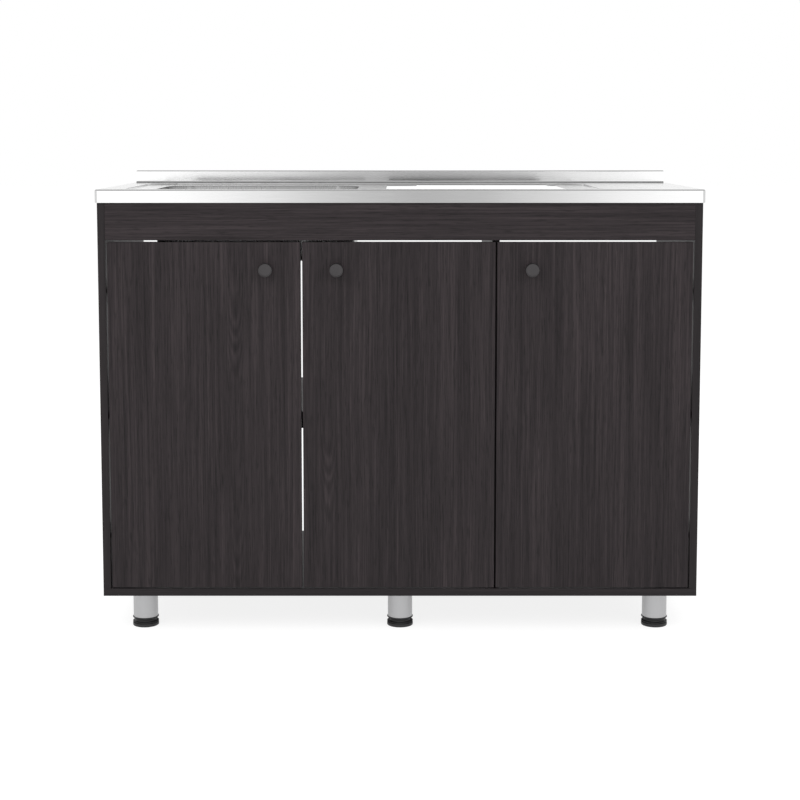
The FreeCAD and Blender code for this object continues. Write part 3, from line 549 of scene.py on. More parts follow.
class Bench:
    """Modelling by hand: start a mesh, shape it, copy it, finish it."""

    @staticmethod
    def clear() -> None:
        """Go back to object mode with nothing selected."""
        if bpy.context.object is not None and bpy.context.object.mode != "OBJECT":
            bpy.ops.object.mode_set(mode="OBJECT")
        bpy.ops.object.select_all(action="DESELECT")

    @staticmethod
    def pick(*pieces: Thing) -> None:
        """Select some pieces alone.

        Args:
            pieces: the pieces, the one that becomes active first.
        """
        Bench.clear()
        for piece in pieces:
            piece.select_set(True)
        bpy.context.view_layer.objects.active = pieces[0]

    @staticmethod
    def edit(piece: Thing) -> None:
        """Open a piece's mesh with everything in it selected.

        Args:
            piece: what is edited.
        """
        Bench.pick(piece)
        bpy.ops.object.mode_set(mode="EDIT")
        bpy.ops.mesh.select_all(action="SELECT")

    @staticmethod
    def started(name: str) -> Thing:
        """Name the piece that was just added.

        Args:
            name: its name.

        Returns:
            The piece.
        """
        piece = bpy.context.object
        piece.name = piece.data.name = name
        return piece

    @staticmethod
    def weld() -> None:
        """Merge doubles of the mesh in edit mode and turn its faces outwards."""
        bpy.ops.mesh.select_all(action="SELECT")
        bpy.ops.mesh.remove_doubles(threshold=WELD)
        bpy.ops.mesh.normals_make_consistent(inside=False)

    @staticmethod
    def smooth(piece: Thing) -> Thing:
        """Shade a piece smooth except over its sharper edges.

        Args:
            piece: what is shaded.

        Returns:
            The same piece.
        """
        Bench.pick(piece)
        bpy.ops.object.shade_smooth_by_angle(angle=SMOOTH)
        return piece

    @staticmethod
    def settle(piece: Thing) -> Thing:
        """Put a piece's place, turn and size into its mesh.

        Args:
            piece: what is settled.

        Returns:
            The same piece.
        """
        Bench.pick(piece)
        bpy.ops.object.transform_apply(location=True, rotation=True, scale=True)
        return piece

    @staticmethod
    def apply(piece: Thing, kind: str, **settings: object) -> Thing:
        """Add a modifier and apply it.

        Args:
            piece: what it changes.
            kind: the modifier's type.
            settings: its options.

        Returns:
            The same piece.
        """
        Bench.pick(piece)
        modifier = piece.modifiers.new(kind.lower(), kind)
        for key, value in settings.items():
            setattr(modifier, key, value)
        bpy.ops.object.modifier_apply(modifier=modifier.name)
        return piece

    @staticmethod
    def block(name: str, size: Point, at: Vector, angle: float, bevel: float) -> Thing:
        """Model a block with bevelled edges.

        Args:
            name: the piece's name.
            size: its three sides, in millimetres.
            at: its middle, in millimetres.
            angle: its turn about Z, in radians.
            bevel: how far its edges are taken off, in millimetres.

        Returns:
            The block.
        """
        Bench.clear()
        bpy.ops.mesh.primitive_cube_add(size=1, location=at * MM, rotation=(0, 0, angle))
        piece = Bench.started(name)
        piece.scale = Vector(size) * MM
        Bench.edit(Bench.settle(piece))
        bpy.ops.mesh.bevel(offset=bevel * MM, segments=2)
        Bench.clear()
        return piece

    @staticmethod
    def turn(name: str, profile: Profile, at: Vector, axis: Vector, steps: int = 64) -> Thing:
        """Turn a profile about an axis, as on a lathe.

        Args:
            name: the piece's name.
            profile: radius and rise of each corner, in millimetres.
            at: the axis's foot, in millimetres.
            axis: the way that the rise goes; not along X.
            steps: sides of the full turn.

        Returns:
            The turned piece.
        """
        Bench.clear()
        bpy.ops.mesh.primitive_plane_add(size=MM)
        piece = Bench.started(name)
        Bench.edit(piece)
        bpy.ops.mesh.merge(type="CENTER")
        foot = at * MM
        here = ORIGIN
        for index, (radius, rise) in enumerate(profile):
            there = foot + RIGHT * radius * MM + axis * rise * MM
            if index == 0:
                bpy.ops.transform.translate(value=there - here)
            else:
                bpy.ops.mesh.extrude_region_move(TRANSFORM_OT_translate={"value": there - here})
            here = there
        bpy.ops.mesh.select_all(action="SELECT")
        bpy.ops.mesh.spin(steps=steps, angle=FULL_TURN, center=foot, axis=axis)
        Bench.weld()
        return Bench.smooth(piece)

    @staticmethod
    def copy(piece: Thing, name: str, move: Vector = ORIGIN, turn: Point = (0, 0, 0)) -> Thing:
        """Copy a piece with its own mesh, turned about the origin and then moved.

        Args:
            piece: what is copied.
            name: the copy's name.
            move: how far it goes, in metres.
            turn: its turn about X, Y and Z, in radians.

        Returns:
            The copy.
        """
        Bench.pick(piece)
        bpy.ops.object.duplicate()
        copy = Bench.started(name)
        copy.rotation_euler = turn
        copy.location = move
        return Bench.settle(copy)

    @staticmethod
    def join(name: str, pieces: list[Thing]) -> Thing:
        """Join pieces into one mesh.

        Args:
            name: the joined piece's name.
            pieces: what goes into it.

        Returns:
            The joined piece.
        """
        Bench.pick(*pieces)
        bpy.ops.object.join()
        return Bench.started(name)

    @staticmethod
    def cut(piece: Thing, cutter: Thing) -> Thing:
        """Cut one piece's form out of another, and dissolve the slivers.

        Args:
            piece: what is cut.
            cutter: the form, which is thrown away.

        Returns:
            The cut piece.
        """
        Bench.apply(piece, "BOOLEAN", operation="DIFFERENCE", solver="EXACT", use_self=True, object=cutter)
        bpy.data.objects.remove(cutter)
        Bench.edit(piece)
        bpy.ops.mesh.dissolve_degenerate(threshold=SLIVER)
        bpy.ops.mesh.remove_doubles(threshold=SLIVER)
        return Bench.smooth(piece)

    @staticmethod
    def skin(node: str, name: str) -> Thing:
        """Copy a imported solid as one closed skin, shaded smooth over its rounds and flat elsewhere.

        Args:
            node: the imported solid.
            name: the copy's name.

        Returns:
            The skin.
        """
        copy = Bench.copy(frame["nodes"][node], name)
        copy.parent = None
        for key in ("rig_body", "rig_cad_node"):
            if key in copy:
                del copy[key]
        copy.data.materials.clear()
        Bench.edit(copy)
        bpy.ops.mesh.remove_doubles(threshold=WELD)
        Bench.smooth(copy)
        return Bench.apply(copy, "WEIGHTED_NORMAL", keep_sharp=True, weight=100)

    @staticmethod
    def solids(node: str) -> list[list[Vector]]:
        """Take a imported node's solids apart.

        Args:
            node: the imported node.

        Returns:
            The corners of each solid, in millimetres, from left to right.
        """
        skin = Bench.skin(node, "solids")
        others = set(bpy.data.objects) - {skin}
        Bench.pick(skin)
        bpy.ops.mesh.separate(type="LOOSE")
        clouds = []
        for part in set(bpy.data.objects) - others:
            clouds.append([vertex.co / MM for vertex in part.data.vertices])
            bpy.data.objects.remove(part)
        return sorted(clouds, key=lambda cloud: tuple(Box.around(cloud).low))


@dataclass(frozen=True)
class Finishes:
    """Every finish of the cabinet that more than one piece shares."""

    sheet: Material
    bowl: Material
    bright: Material
    zinc: Material
    nickel: Material
    knob: Material
    tube: Material
    black: Material
    rubber: Material
    clear: Material
    beech: Material

    @classmethod
    def mix(cls) -> "Finishes":
        """Mix them all.

        Returns:
            The finishes.
        """
        return cls(
            sheet=SheetFinish("stainless_polished", grey(0.66), (0.07, 0.15), (14, 900, 900),
                              0.00001).build(),
            bowl=SheetFinish("stainless_satin", grey(0.44), (0.24, 0.32), (1300, 1300, 30), 0.000002).build(),
            bright=PlatedFinish("bright_plate", grey(0.8), grey(0.72), 0.12).build(),
            zinc=PlatedFinish("zinc_plate", screen(196, 200, 204), screen(166, 170, 176), 0.34,
                              320.0).build(),
            nickel=PlatedFinish("nickel_plate", screen(206, 202, 196), screen(182, 178, 172), 0.24).build(),
            knob=SheetFinish("dark_satin_knob", screen(77, 75, 76), (0.34, 0.5), (500, 500, 500),
                             0.00003).build(),
            tube=SheetFinish("satin_tube", screen(183, 183, 184), (0.36, 0.5), (1100, 1100, 8),
                             0.00002).build(),
            black=MouldedFinish("black_moulding", screen(37, 37, 38), screen(49, 49, 50), 0.5).build(),
            rubber=MouldedFinish("black_rubber", screen(24, 24, 24), screen(33, 33, 33), 0.8, 900.0).build(),
            clear=MouldedFinish("bumper_rubber", screen(150, 150, 148), screen(172, 172, 170), 0.45).build(),
            beech=TimberFinish("beech_dowel").build())


def dress(node: str, material: Material) -> None:
    """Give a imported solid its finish.

    Args:
        node: the solid.
        material: the finish.
    """
    slots = frame["nodes"][node].data.materials
    slots.clear()
    slots.append(material)
    LOG.info("%s is dressed in %s", node, material.name)


def fit(piece: Thing, body: str, slot: str, material: Material, *nodes: str) -> None:
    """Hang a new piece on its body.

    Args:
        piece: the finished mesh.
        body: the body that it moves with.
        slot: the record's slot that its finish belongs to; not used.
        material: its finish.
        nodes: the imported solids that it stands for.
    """
    piece.data.materials.clear()
    piece.data.materials.append(material)
    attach(piece, body)
    if nodes:
        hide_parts(*nodes)
    LOG.info("%s rides on %s", piece.name, body)


@dataclass(frozen=True)
class Head:
    """A fastener's head: the middle of its face, the way that it faces and its size, in millimetres."""

    at: Vector
    facing: Vector
    diameter: float
    rise: float
    cam_rise: ClassVar[float] = 2.2

    @classmethod
    def of_screw(cls, cloud: list[Vector]) -> "Head":
        """Find the wide end of a screw, along its longest side.

        Args:
            cloud: the corners of the screw's solid.

        Returns:
            Its head.
        """
        box = Box.around(cloud)
        axis = max(range(3), key=lambda index: box.span[index])
        along = Vector([float(index == axis) for index in range(3)])
        radii = [(point - box.middle).cross(along).length for point in cloud]
        widest = max(radii)
        rim = [point[axis] for point, radius in zip(cloud, radii) if radius > widest - RIM]
        facing = along if min(rim) > box.middle[axis] else -along
        at = box.middle + facing * box.span[axis] / 2
        return cls(at, facing, round(2 * widest, 2), round(max(rim) - min(rim), 2))

    @classmethod
    def of_cam(cls, cloud: list[Vector]) -> "Head":
        """Find the face of a cam: under a level board, else on its board's inner side.

        Args:
            cloud: the corners of the cam's solid.

        Returns:
            Its head.
        """
        box = Box.around(cloud)
        axis = min(range(3), key=lambda index: box.span[index])
        inward = BACK if box.middle.y < 0 else FORE
        facing = DOWN if axis == Thin.Z.value else inward
        return cls(box.middle + facing * box.span[axis] / 2, facing, round(max(box.span), 1), cls.cam_rise)


class Style(Enum):
    """What a head looks like: its shank's length, its straight edge, and its cross's reach and width.

    The edge is a share of the head's rise, and the cross's sizes are shares of its diameter.
    """

    SCREW = (2.0, 0.45, 0.56, 0.13)
    CAM = (6.0, 0.8, 0.72, 0.2)

    def __init__(self, shank: float, edge: float, reach: float, width: float) -> None:
        """Name the four numbers."""
        self.shank, self.edge = shank, edge
        self.reach, self.width = reach, width

    def find(self, cloud: list[Vector]) -> Head:
        """The head of a fastener in this style, from its solid's corners."""
        return Head.of_cam(cloud) if self is Style.CAM else Head.of_screw(cloud)


@dataclass(frozen=True)
class Fastener:
    """One size of screw or cam: a turned head with a driver's cross in its face."""

    diameter: float
    rise: float
    style: Style
    cross_depth: float = 0.55
    cross_edge: float = 0.2

    def cutter(self) -> Thing:
        """Model the crossed blades that leave the recess.

        Returns:
            The blades as one piece.
        """
        length, width = self.diameter * self.style.reach, self.diameter * self.style.width
        size = (length, width, 2 * self.rise * self.cross_depth)
        blades = [Bench.block("blade", size, UP * self.rise, FULL_TURN / 4 * index, width * self.cross_edge)
                  for index in range(2)]
        return Bench.join("blades", blades)

    def pattern(self) -> Thing:
        """Model one head on its shank, its face towards +Z and its seat at the origin.

        Returns:
            The head.
        """
        half, rise, shank = self.diameter / 2, self.rise, self.style.shank
        profile = [(0, -shank), (half * 0.5, -shank), (half * 0.5, 0), (half, 0),
                   (half, rise * self.style.edge), (half * 0.94, rise * 0.72), (half * 0.8, rise * 0.92),
                   (half * 0.6, rise), (0, rise)]
        head = Bench.turn("head", profile, ORIGIN, UP, 32)
        return Bench.cut(head, self.cutter())


def fasten(node: str, name: str, body: str, material: Material, style: Style = Style.SCREW) -> None:
    """Model the heads of a node's fasteners, each in its own place.

    Args:
        node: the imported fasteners.
        name: the new piece's name.
        body: the body that they move with.
        material: their finish.
        style: what their heads look like.
    """
    patterns: dict[Fastener, Thing] = {}
    copies = []
    for index, cloud in enumerate(Bench.solids(node)):
        head = style.find(cloud)
        kind = Fastener(head.diameter, head.rise, style)
        if kind not in patterns:
            patterns[kind] = kind.pattern()
        turn = UP.rotation_difference(head.facing).to_euler()
        seat = (head.at - head.facing * head.rise) * MM
        copies.append(Bench.copy(patterns[kind], f"{name}_{index}", seat, turn))
    for pattern in patterns.values():
        bpy.data.objects.remove(pattern)
    fit(Bench.join(name, copies), body, "fitting_metal", material, node)


@dataclass
class Carcass:
    """The boards and what joins them."""

    finishes: Finishes

    def boards(self) -> None:
        """Give each board its own part of the printed grain."""
        for node, grain, thin, shift in (
                ("left_side_panel", Grain.UPRIGHT, Thin.X, (1.7, 0.4, 0.3)),
                ("right_side_panel", Grain.UPRIGHT, Thin.X, (-2.3, 1.1, 0.8)),
                ("bottom_panel", Grain.LEVEL, Thin.Z, (0.6, 2.2, 0.1)),
                ("centre_partition", Grain.UPRIGHT, Thin.X, (3.1, 0.9, 1.4)),
                ("front_top_rail", Grain.LEVEL, Thin.Y, (0.2, 1.5, 2.6)),
                ("rear_rail", Grain.LEVEL, Thin.Y, (2.9, 0.3, 1.2)),
                ("left_shelf", Grain.LEVEL, Thin.Z, (1.3, 3.4, 0.5)),
                ("right_shelf", Grain.LEVEL, Thin.Z, (4.1, 1.6, 0.7))):
            dress(node, BoardFinish(f"{node}_melamine", grain, thin, shift).build())

    def fastenings(self) -> None:
        """Model the heads of cams and screws, and dress what else holds the boards."""
        zinc = self.finishes.zinc
        fasten("cam_discs", "slotted_cams", ROOT, zinc, Style.CAM)
        fasten("bottom_screws", "panel_screw_heads", ROOT, zinc)
        fasten("bracket_screws", "bracket_screw_heads", ROOT, zinc)
        for node in ("cam_bolts", "plug_screws", "worktop_brackets"):
            dress(node, zinc)
        dress("partition_dowels", self.finishes.beech)


@dataclass
class Worktop:
    """The pressed sheet, its bowl and the waste."""

    finishes: Finishes
    bowl_flange: float = 10.0
    mouth_corner: float = 55.0
    seam_lift: float = 0.25
    seam_radius: float = 0.9
    strainer_flange: float = 1.5
    basket_gauge: float = 0.8
    hole_rings: tuple[tuple[float, int], ...] = ((18.5, 12), (24.5, 16), (30.5, 20))
    hole_radius: float = 1.7
    hole_level: float = -23.5
    hole_depth: float = 8.0
    nut_bore: float = 44.7
    nut_edge: float = 0.8
    lug_count: int = 12
    lug_size: Point = (3.4, 7.0, 8.6)
    lug_edge: float = 0.7
    lug_rise: float = 2.0
    lug_reach: float = 0.2

    @property
    def drain(self) -> Vector:
        """The middle of the drain, on the bowl's floor."""
        cup = Box.of("strainer_body")
        return Vector((cup.middle.x, cup.middle.y, cup.high.z - self.strainer_flange))

    @staticmethod
    def spoke(angle: float, radius: float) -> Vector:
        """A level arm of this length in this direction."""
        return Vector((math.cos(angle), math.sin(angle), 0)) * radius

    def sheet(self) -> None:
        """Skin the sheet and the bowl, and run the seam between them."""
        polished, satin = self.finishes.sheet, self.finishes.bowl
        fit(Bench.skin("worktop_sheet", "pressed_worktop"), ROOT, "steel_sheet", polished, "worktop_sheet")
        fit(Bench.skin("sink_bowl", "drawn_bowl"), ROOT, "steel_sheet", satin, "sink_bowl")
        fit(self.seam(), ROOT, "steel_sheet", polished)

    def seam(self) -> Thing:
        """Model the ground weld that rounds the edge between the sheet and the bowl.

        Returns:
            The seam.
        """
        bowl = Box.of("sink_bowl")
        Bench.clear()
        middle = Vector((bowl.middle.x, bowl.middle.y, bowl.high.z + self.seam_lift))
        bpy.ops.mesh.primitive_plane_add(size=1, location=middle * MM)
        piece = Bench.started("bowl_seam")
        around = 2 * self.bowl_flange
        piece.scale = ((bowl.span.x - around) * MM, (bowl.span.y - around) * MM, 1)
        Bench.edit(Bench.settle(piece))
        bpy.ops.mesh.bevel(offset=self.mouth_corner * MM, segments=18, affect="VERTICES")
        bpy.ops.mesh.select_all(action="SELECT")
        bpy.ops.mesh.delete(type="ONLY_FACE")
        Bench.pick(piece)
        bpy.ops.object.convert(target="CURVE")
        piece.data.dimensions = "3D"
        piece.data.bevel_depth = self.seam_radius * MM
        piece.data.bevel_resolution = 4
        bpy.ops.object.convert(target="MESH")
        piece = Bench.started("bowl_seam")
        Bench.edit(piece)
        Bench.weld()
        return Bench.smooth(piece)

    def waste(self) -> None:
        """Skin the strainer, hang a perforated basket in it and rib its lock nut."""
        bright = self.finishes.bright
        fit(Bench.skin("strainer_body", "strainer_cup"), ROOT, "bright_steel", bright, "strainer_body")
        fit(self.basket(), ROOT, "bright_steel", bright)
        fit(self.nut(), ROOT, "black_plastic", self.finishes.black, "strainer_locknut")
        dress("strainer_gasket", self.finishes.rubber)

    def basket(self) -> Thing:
        """Model a thin dished basket with rings of holes and a post to lift it by.

        Returns:
            The basket.
        """
        profile = [(45.5, 2.0), (43.6, 2.3), (42.2, 1.9), (41.6, 0.4), (39.6, -18), (37.6, -21.4), (34, -23),
                   (13, -24), (9.4, -22.6), (7, -18), (5.2, -8), (5.4, -6.4), (8.2, -4.4), (8.6, -2.6),
                   (7.6, -0.9), (4, 0), (0, 0.2)]
        piece = Bench.turn("strainer_basket", profile, self.drain, UP, 96)
        Bench.apply(piece, "SOLIDIFY", thickness=self.basket_gauge * MM, offset=-1)
        floor = self.drain + UP * self.hole_level
        drills = []
        for radius, count in self.hole_rings:
            for index in range(count):
                spot = floor + self.spoke(FULL_TURN * index / count, radius)
                Bench.clear()
                bpy.ops.mesh.primitive_cylinder_add(vertices=12, radius=self.hole_radius * MM,
                                                    depth=self.hole_depth * MM, location=spot * MM)
                drills.append(Bench.settle(Bench.started("drill")))
        return Bench.cut(piece, Bench.join("drills", drills))

    def nut(self) -> Thing:
        """Model the ring nut under the bowl, with lugs for a wrench round its edge.

        Returns:
            The nut.
        """
        ring = Box.of("strainer_locknut")
        radius, height, edge = ring.span.x / 2 - self.lug_rise, ring.span.z, self.nut_edge
        seat = Vector((ring.middle.x, ring.middle.y, ring.low.z))
        profile = [(self.nut_bore, 0), (radius - edge, 0), (radius, edge), (radius, height - edge),
                   (radius - edge, height), (self.nut_bore, height), (self.nut_bore, 0)]
        pieces = [Bench.turn("ribbed_locknut", profile, seat, UP, 96)]
        for index in range(self.lug_count):
            angle = FULL_TURN * index / self.lug_count
            at = ring.middle + self.spoke(angle, radius + self.lug_reach)
            pieces.append(Bench.block("lug", self.lug_size, at, angle, self.lug_edge))
        return Bench.smooth(Bench.join("ribbed_locknut", pieces))


@dataclass
class Door:
    """One inset door with its knob, soft stop and two hinges."""

    side: str
    shelf: str
    finishes: Finishes
    shift: Point
    flame: float
    stop_inset: float = 20.0

    @property
    def body(self) -> str:
        """The body that the door moves with."""
        return f"{self.side}_door_body"

    @property
    def board(self) -> Box:
        """The space that the door's board takes up."""
        return Box.of(f"{self.side}_door")

    def build(self) -> None:
        """Model and dress everything on this door and its hinges."""
        finish = BoardFinish(f"{self.side}_door_melamine", Grain.UPRIGHT, Thin.Y, self.shift, self.flame)
        dress(f"{self.side}_door", finish.build())
        fit(self.knob(), self.body, "knob_metal", self.finishes.knob, f"{self.side}_knob")
        fit(self.bumper(), self.body, "seal", self.finishes.clear)
        nickel, zinc = self.finishes.nickel, self.finishes.zinc
        fasten(f"{self.side}_cup_screws", f"{self.side}_cup_screw_heads", self.body, nickel)
        fasten(f"{self.side}_knob_screw", f"{self.side}_knob_screw_head", self.body, zinc)
        fasten(f"{self.side}_plate_screws", f"{self.side}_plate_screw_heads", ROOT, zinc)
        cups = f"{self.side}_hinge_cups"
        fit(Bench.skin(cups, f"{self.side}_drawn_cups"), self.body, "nickel_steel", nickel, cups)
        dress(f"{self.side}_hinge_arms", nickel)
        dress(f"{self.side}_hinge_plates", nickel)

    def knob(self) -> Thing:
        """Model a turned knob: foot, waist and a dished face inside a fine rim.

        Returns:
            The knob.
        """
        middle = Box.of(f"{self.side}_knob").middle
        foot = Vector((middle.x, self.board.low.y, middle.z))
        profile = [(0, 0), (9.5, 0), (9.5, 1.8), (9.2, 2.6), (8.4, 3.2), (7.3, 4.6), (7, 6.4), (7, 11.6),
                   (7.5, 13.6), (9.2, 15.6), (12.4, 17.6), (13.5, 18.4), (14, 19.5), (14, 22.6), (13.8, 23.7),
                   (13.2, 24.6), (12.4, 25), (11.7, 24.8), (11.1, 24.35), (10.2, 24.15), (5, 24.05), (0, 24)]
        return Bench.turn(f"{self.side}_turned_knob", profile, foot, FORE)

    def bumper(self) -> Thing:
        """Model a soft stop on the door's back, near its free edge, that meets the shelf's front edge.

        Returns:
            The stop.
        """
        board, knob = self.board, Box.of(f"{self.side}_knob")
        left = knob.middle.x < board.middle.x
        across = board.low.x + self.stop_inset if left else board.high.x - self.stop_inset
        foot = Vector((across, board.high.y, Box.of(self.shelf).middle.z))
        profile = [(0, 0), (4.6, 0), (4.6, 1.2), (4.3, 4), (3.6, 5.6), (2.2, 6.25), (0, 6.4)]
        return Bench.turn(f"{self.side}_door_bumper", profile, foot, BACK, 32)


@dataclass
class Legs:
    """Six tube legs with moulded sockets and screw feet."""

    finishes: Finishes
    tube_wall: float = 2.0
    tube_edge: float = 0.5
    pitch: float = 1.5
    crest: tuple[float, float] = (0.45, 0.6)
    stem: float = 4.9
    core: float = 4.2
    thread_start: float = 14.6
    thread_end: float = 50.6
    stem_top: float = 52.0
    stem_taper: float = 0.6

    def tube_profile(self) -> Profile:
        """Draw half the tube's section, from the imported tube.

        Returns:
            The section.
        """
        tube, edge = Box.of("front_left_leg"), self.tube_edge
        radius, low, high = tube.span.x / 2, tube.low.z, tube.high.z
        bore = radius - self.tube_wall
        return [(bore, low), (radius - edge, low), (radius, low + edge), (radius, high - edge),
                (radius - edge, high), (bore, high), (bore, low)]

    def socket_profile(self) -> Profile:
        """Draw half the socket's section: a lip under the tube, a skirt inside it and a boss for the screw.

        Returns:
            The section.
        """
        return [(4.95, 14.5), (23, 14.5), (23.5, 14.7), (23.8, 15.2), (25.9, 17), (26.3, 17.4), (26.5, 17.9),
                (26.4, 18.7), (26, 19), (22.8, 19), (22.8, 37), (20, 37), (20, 22), (8, 22), (8, 37),
                (4.95, 37), (4.95, 14.5)]

    def foot_profile(self) -> Profile:
        """Draw half the foot's section: pad, grooved disc, neck and threaded stem.

        Returns:
            The section.
        """
        profile = [(0, 0.9), (15.5, 0.9), (17, 0), (24.8, 0), (25.9, 0.4), (26.5, 1.4), (26.5, 5.6),
                   (26.2, 6.5), (25.3, 7), (24, 7.1), (24, 8.4), (25.4, 8.5), (26.2, 8.8), (26.5, 9.3),
                   (26.2, 9.8), (25.2, 10), (22.4, 10.2), (21.3, 10.8), (21, 12), (21, 13.6), (20.5, 14.1),
                   (19.4, 14.2), (self.core, 14.2)]
        for index in range(int((self.thread_end - self.thread_start) / self.pitch)):
            level = self.thread_start + index * self.pitch
            profile.append((self.core, level))
            profile += [(self.stem, level + self.pitch * share) for share in self.crest]
        profile.append((self.core, self.thread_end))
        return profile + [(self.core - self.stem_taper, self.stem_top), (0, self.stem_top)]

    def build(self) -> None:
        """Turn one tube, socket and foot, and copy them to every leg."""
        tube = Bench.turn("tube", self.tube_profile(), ORIGIN, UP, 96)
        socket = Bench.turn("socket", self.socket_profile(), ORIGIN, UP, 72)
        foot = Bench.turn("foot", self.foot_profile(), ORIGIN, UP, 72)
        sockets = []
        for name in (f"{row}_{side}" for row in ("front", "rear") for side in ("left", "middle", "right")):
            middle = Box.of(f"{name}_leg").middle
            move = Vector((middle.x, middle.y, 0)) * MM
            fit(Bench.copy(tube, f"{name}_satin_tube", move), ROOT, "leg_tube", self.finishes.tube,
                f"{name}_leg")
            fit(Bench.copy(foot, f"{name}_screw_foot", move), f"{name}_foot_body", "black_plastic",
                self.finishes.black, f"{name}_foot")
            sockets.append(Bench.copy(socket, f"{name}_socket", move))
        fit(Bench.join("lipped_sockets", sockets), ROOT, "black_plastic", self.finishes.black, "leg_sockets")
        dress("leg_plugs", self.finishes.black)
        for pattern in (tube, socket, foot):
            bpy.data.objects.remove(pattern)


@dataclass(frozen=True)
class Lamp:
    """A square softbox: its name, its place and size in metres, and its power in watts."""

    name: str
    at: Point
    size: float
    power: float


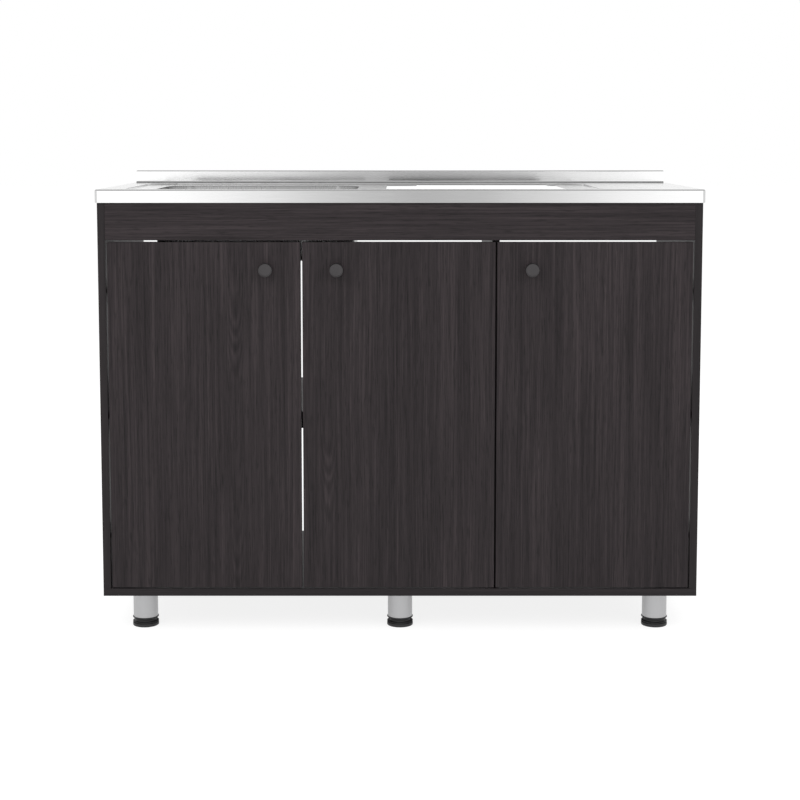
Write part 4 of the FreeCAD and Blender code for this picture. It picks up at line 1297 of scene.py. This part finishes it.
@dataclass
class Studio:
    """A white floor and room, soft lamps, and a camera a little above the worktop.

    Places and lengths are metres, the pitch is degrees below level, and the lens and sensor are millimetres.
    """

    camera_at: Point = (0.0, -3.55, 1.0)
    pitch: float = 5.701
    lens: float = 75.624
    sensor: float = 36.0
    shift: float = -0.12
    ambient: float = 0.62
    floor_size: float = 60.0
    floor_tones: tuple[float, float] = (0.8, 0.3)
    floor_glow: float = 0.85
    card_at: Point = (0.0, -5.5, 1.6)
    card_size: Point = (5.0, 3.6, 1.0)
    card_middle: float = 0.13
    card_reach: float = 1.54
    card_levels: tuple[float, float] = (0.68, 1.68)
    ceiling_at: Point = (0.0, 0.0, 3.4)
    ceiling_size: float = 24.0
    ceiling_reach: tuple[float, float] = (3.8, 9.0)
    ceiling_levels: tuple[float, float] = (0.5, 1.0)
    aim: Point = (0.0, 0.0, 0.45)
    lamps: tuple[Lamp, ...] = (Lamp("key", (-1.9, -2.9, 2.9), 2.2, 62.0),
                               Lamp("fill", (2.3, -2.7, 1.9), 2.0, 26.0),
                               Lamp("rim", (0.4, 2.6, 2.6), 2.0, 40.0))

    def world(self) -> None:
        """Make the room white where it is seen, and softer as light."""
        world = bpy.data.worlds.new("white_room")
        bpy.context.scene.world = world
        world.use_nodes = True
        tree = Tree(world.node_tree)
        background = tree.nodes["Background"]
        tree.feed(background.inputs["Color"], grey(1.0))
        tree.feed(background.inputs["Strength"], tree.ranged(tree.seen(), (0, 1), (self.ambient, 1.0)))

    def floor(self) -> None:
        """Lay a pale floor that keeps a soft shadow."""
        Bench.clear()
        bpy.ops.mesh.primitive_plane_add(size=self.floor_size)
        floor = Bench.started("studio_floor")
        recipe = Recipe("studio_floor_white")
        seen = recipe.seen()
        matt = recipe.add("ShaderNodeBsdfDiffuse", {"Color": recipe.ranged(seen, (0, 1), self.floor_tones)})
        glow = recipe.add("ShaderNodeEmission", {"Strength": recipe.maths("MULTIPLY", seen, self.floor_glow)})
        both = recipe.add("ShaderNodeAddShader", {0: matt.outputs[0], 1: glow.outputs[0]})
        floor.data.materials.append(recipe.show(both))

    @staticmethod
    def mirrored(card: Thing, recipe: Recipe, level: Socket) -> None:
        """Light a card that only the metal sees.

        Args:
            card: the card.
            recipe: its material, being mixed.
            level: how bright it is.
        """
        card.data.materials.append(recipe.show(recipe.add("ShaderNodeEmission", {"Strength": level})))
        card.visible_camera = card.visible_diffuse = card.visible_shadow = False

    def reflector(self) -> None:
        """Stand a tall card behind the camera, dim in the middle, that the steel mirrors."""
        Bench.clear()
        bpy.ops.mesh.primitive_plane_add(size=1, location=self.card_at, rotation=(FULL_TURN / 4, 0, 0))
        card = Bench.started("studio_reflector")
        card.scale = self.card_size
        Bench.settle(card)
        recipe = Recipe("reflector_card")
        across = recipe.add("ShaderNodeSeparateXYZ", {0: recipe.place["Object"]}).outputs["X"]
        far = recipe.maths("ABSOLUTE", recipe.maths("SUBTRACT", across, self.card_middle))
        self.mirrored(card, recipe, recipe.ranged(far, (0, self.card_reach), self.card_levels, "SMOOTHSTEP"))

    def ceiling(self) -> None:
        """Hang a ceiling that is dim overhead and white far off."""
        Bench.clear()
        bpy.ops.mesh.primitive_plane_add(size=self.ceiling_size, location=self.ceiling_at)
        card = Bench.settle(Bench.started("studio_ceiling"))
        recipe = Recipe("ceiling_grey")
        length = recipe.add("ShaderNodeVectorMath", {0: recipe.place["Object"]}, operation="LENGTH")
        far = length.outputs["Value"]
        self.mirrored(card, recipe, recipe.ranged(far, self.ceiling_reach, self.ceiling_levels))

    def softboxes(self) -> None:
        """Hang the lamps and turn them towards the cabinet."""
        for lamp in self.lamps:
            light = bpy.data.lights.new(f"{lamp.name}_softbox", "AREA")
            light.shape, light.size, light.energy = "SQUARE", lamp.size, lamp.power
            holder = bpy.data.objects.new(f"{lamp.name}_softbox", light)
            bpy.context.scene.collection.objects.link(holder)
            holder.location = lamp.at
            aim = Vector(self.aim) - Vector(lamp.at)
            holder.rotation_euler = aim.to_track_quat("-Z", "Y").to_euler()
            holder.visible_glossy = False

    def camera(self) -> None:
        """Take the photograph's view: square on, just above the worktop."""
        lens = bpy.data.cameras.new("front_camera")
        lens.lens, lens.sensor_width, lens.shift_y = self.lens, self.sensor, self.shift
        holder = bpy.data.objects.new("front_camera", lens)
        bpy.context.scene.collection.objects.link(holder)
        holder.location = self.camera_at
        holder.rotation_euler = (math.radians(90 - self.pitch), 0, 0)
        bpy.context.scene.camera = holder

    def build(self) -> None:
        """Set up the room, its lamps and the camera."""
        bpy.context.scene.view_settings.view_transform = "Standard"
        self.world()
        self.floor()
        self.reflector()
        self.ceiling()
        self.softboxes()
        self.camera()


def main() -> None:
    """Build every sub-assembly in order."""
    logging.basicConfig(level=logging.INFO, format="%(name)s: %(message)s")
    finishes = Finishes.mix()
    carcass = Carcass(finishes)
    carcass.boards()
    carcass.fastenings()
    worktop = Worktop(finishes)
    worktop.sheet()
    worktop.waste()
    for door in (Door("left", "left_shelf", finishes, (0.3, 0.7, 1.9), -0.02),
                 Door("middle", "left_shelf", finishes, (0.9, 2.8, 0.4), 0.763),
                 Door("right", "right_shelf", finishes, (2.2, 1.2, 3.3), 2.545)):
        door.build()
    Legs(finishes).build()
    Studio().build()


if __name__ == "__main__":
    main()
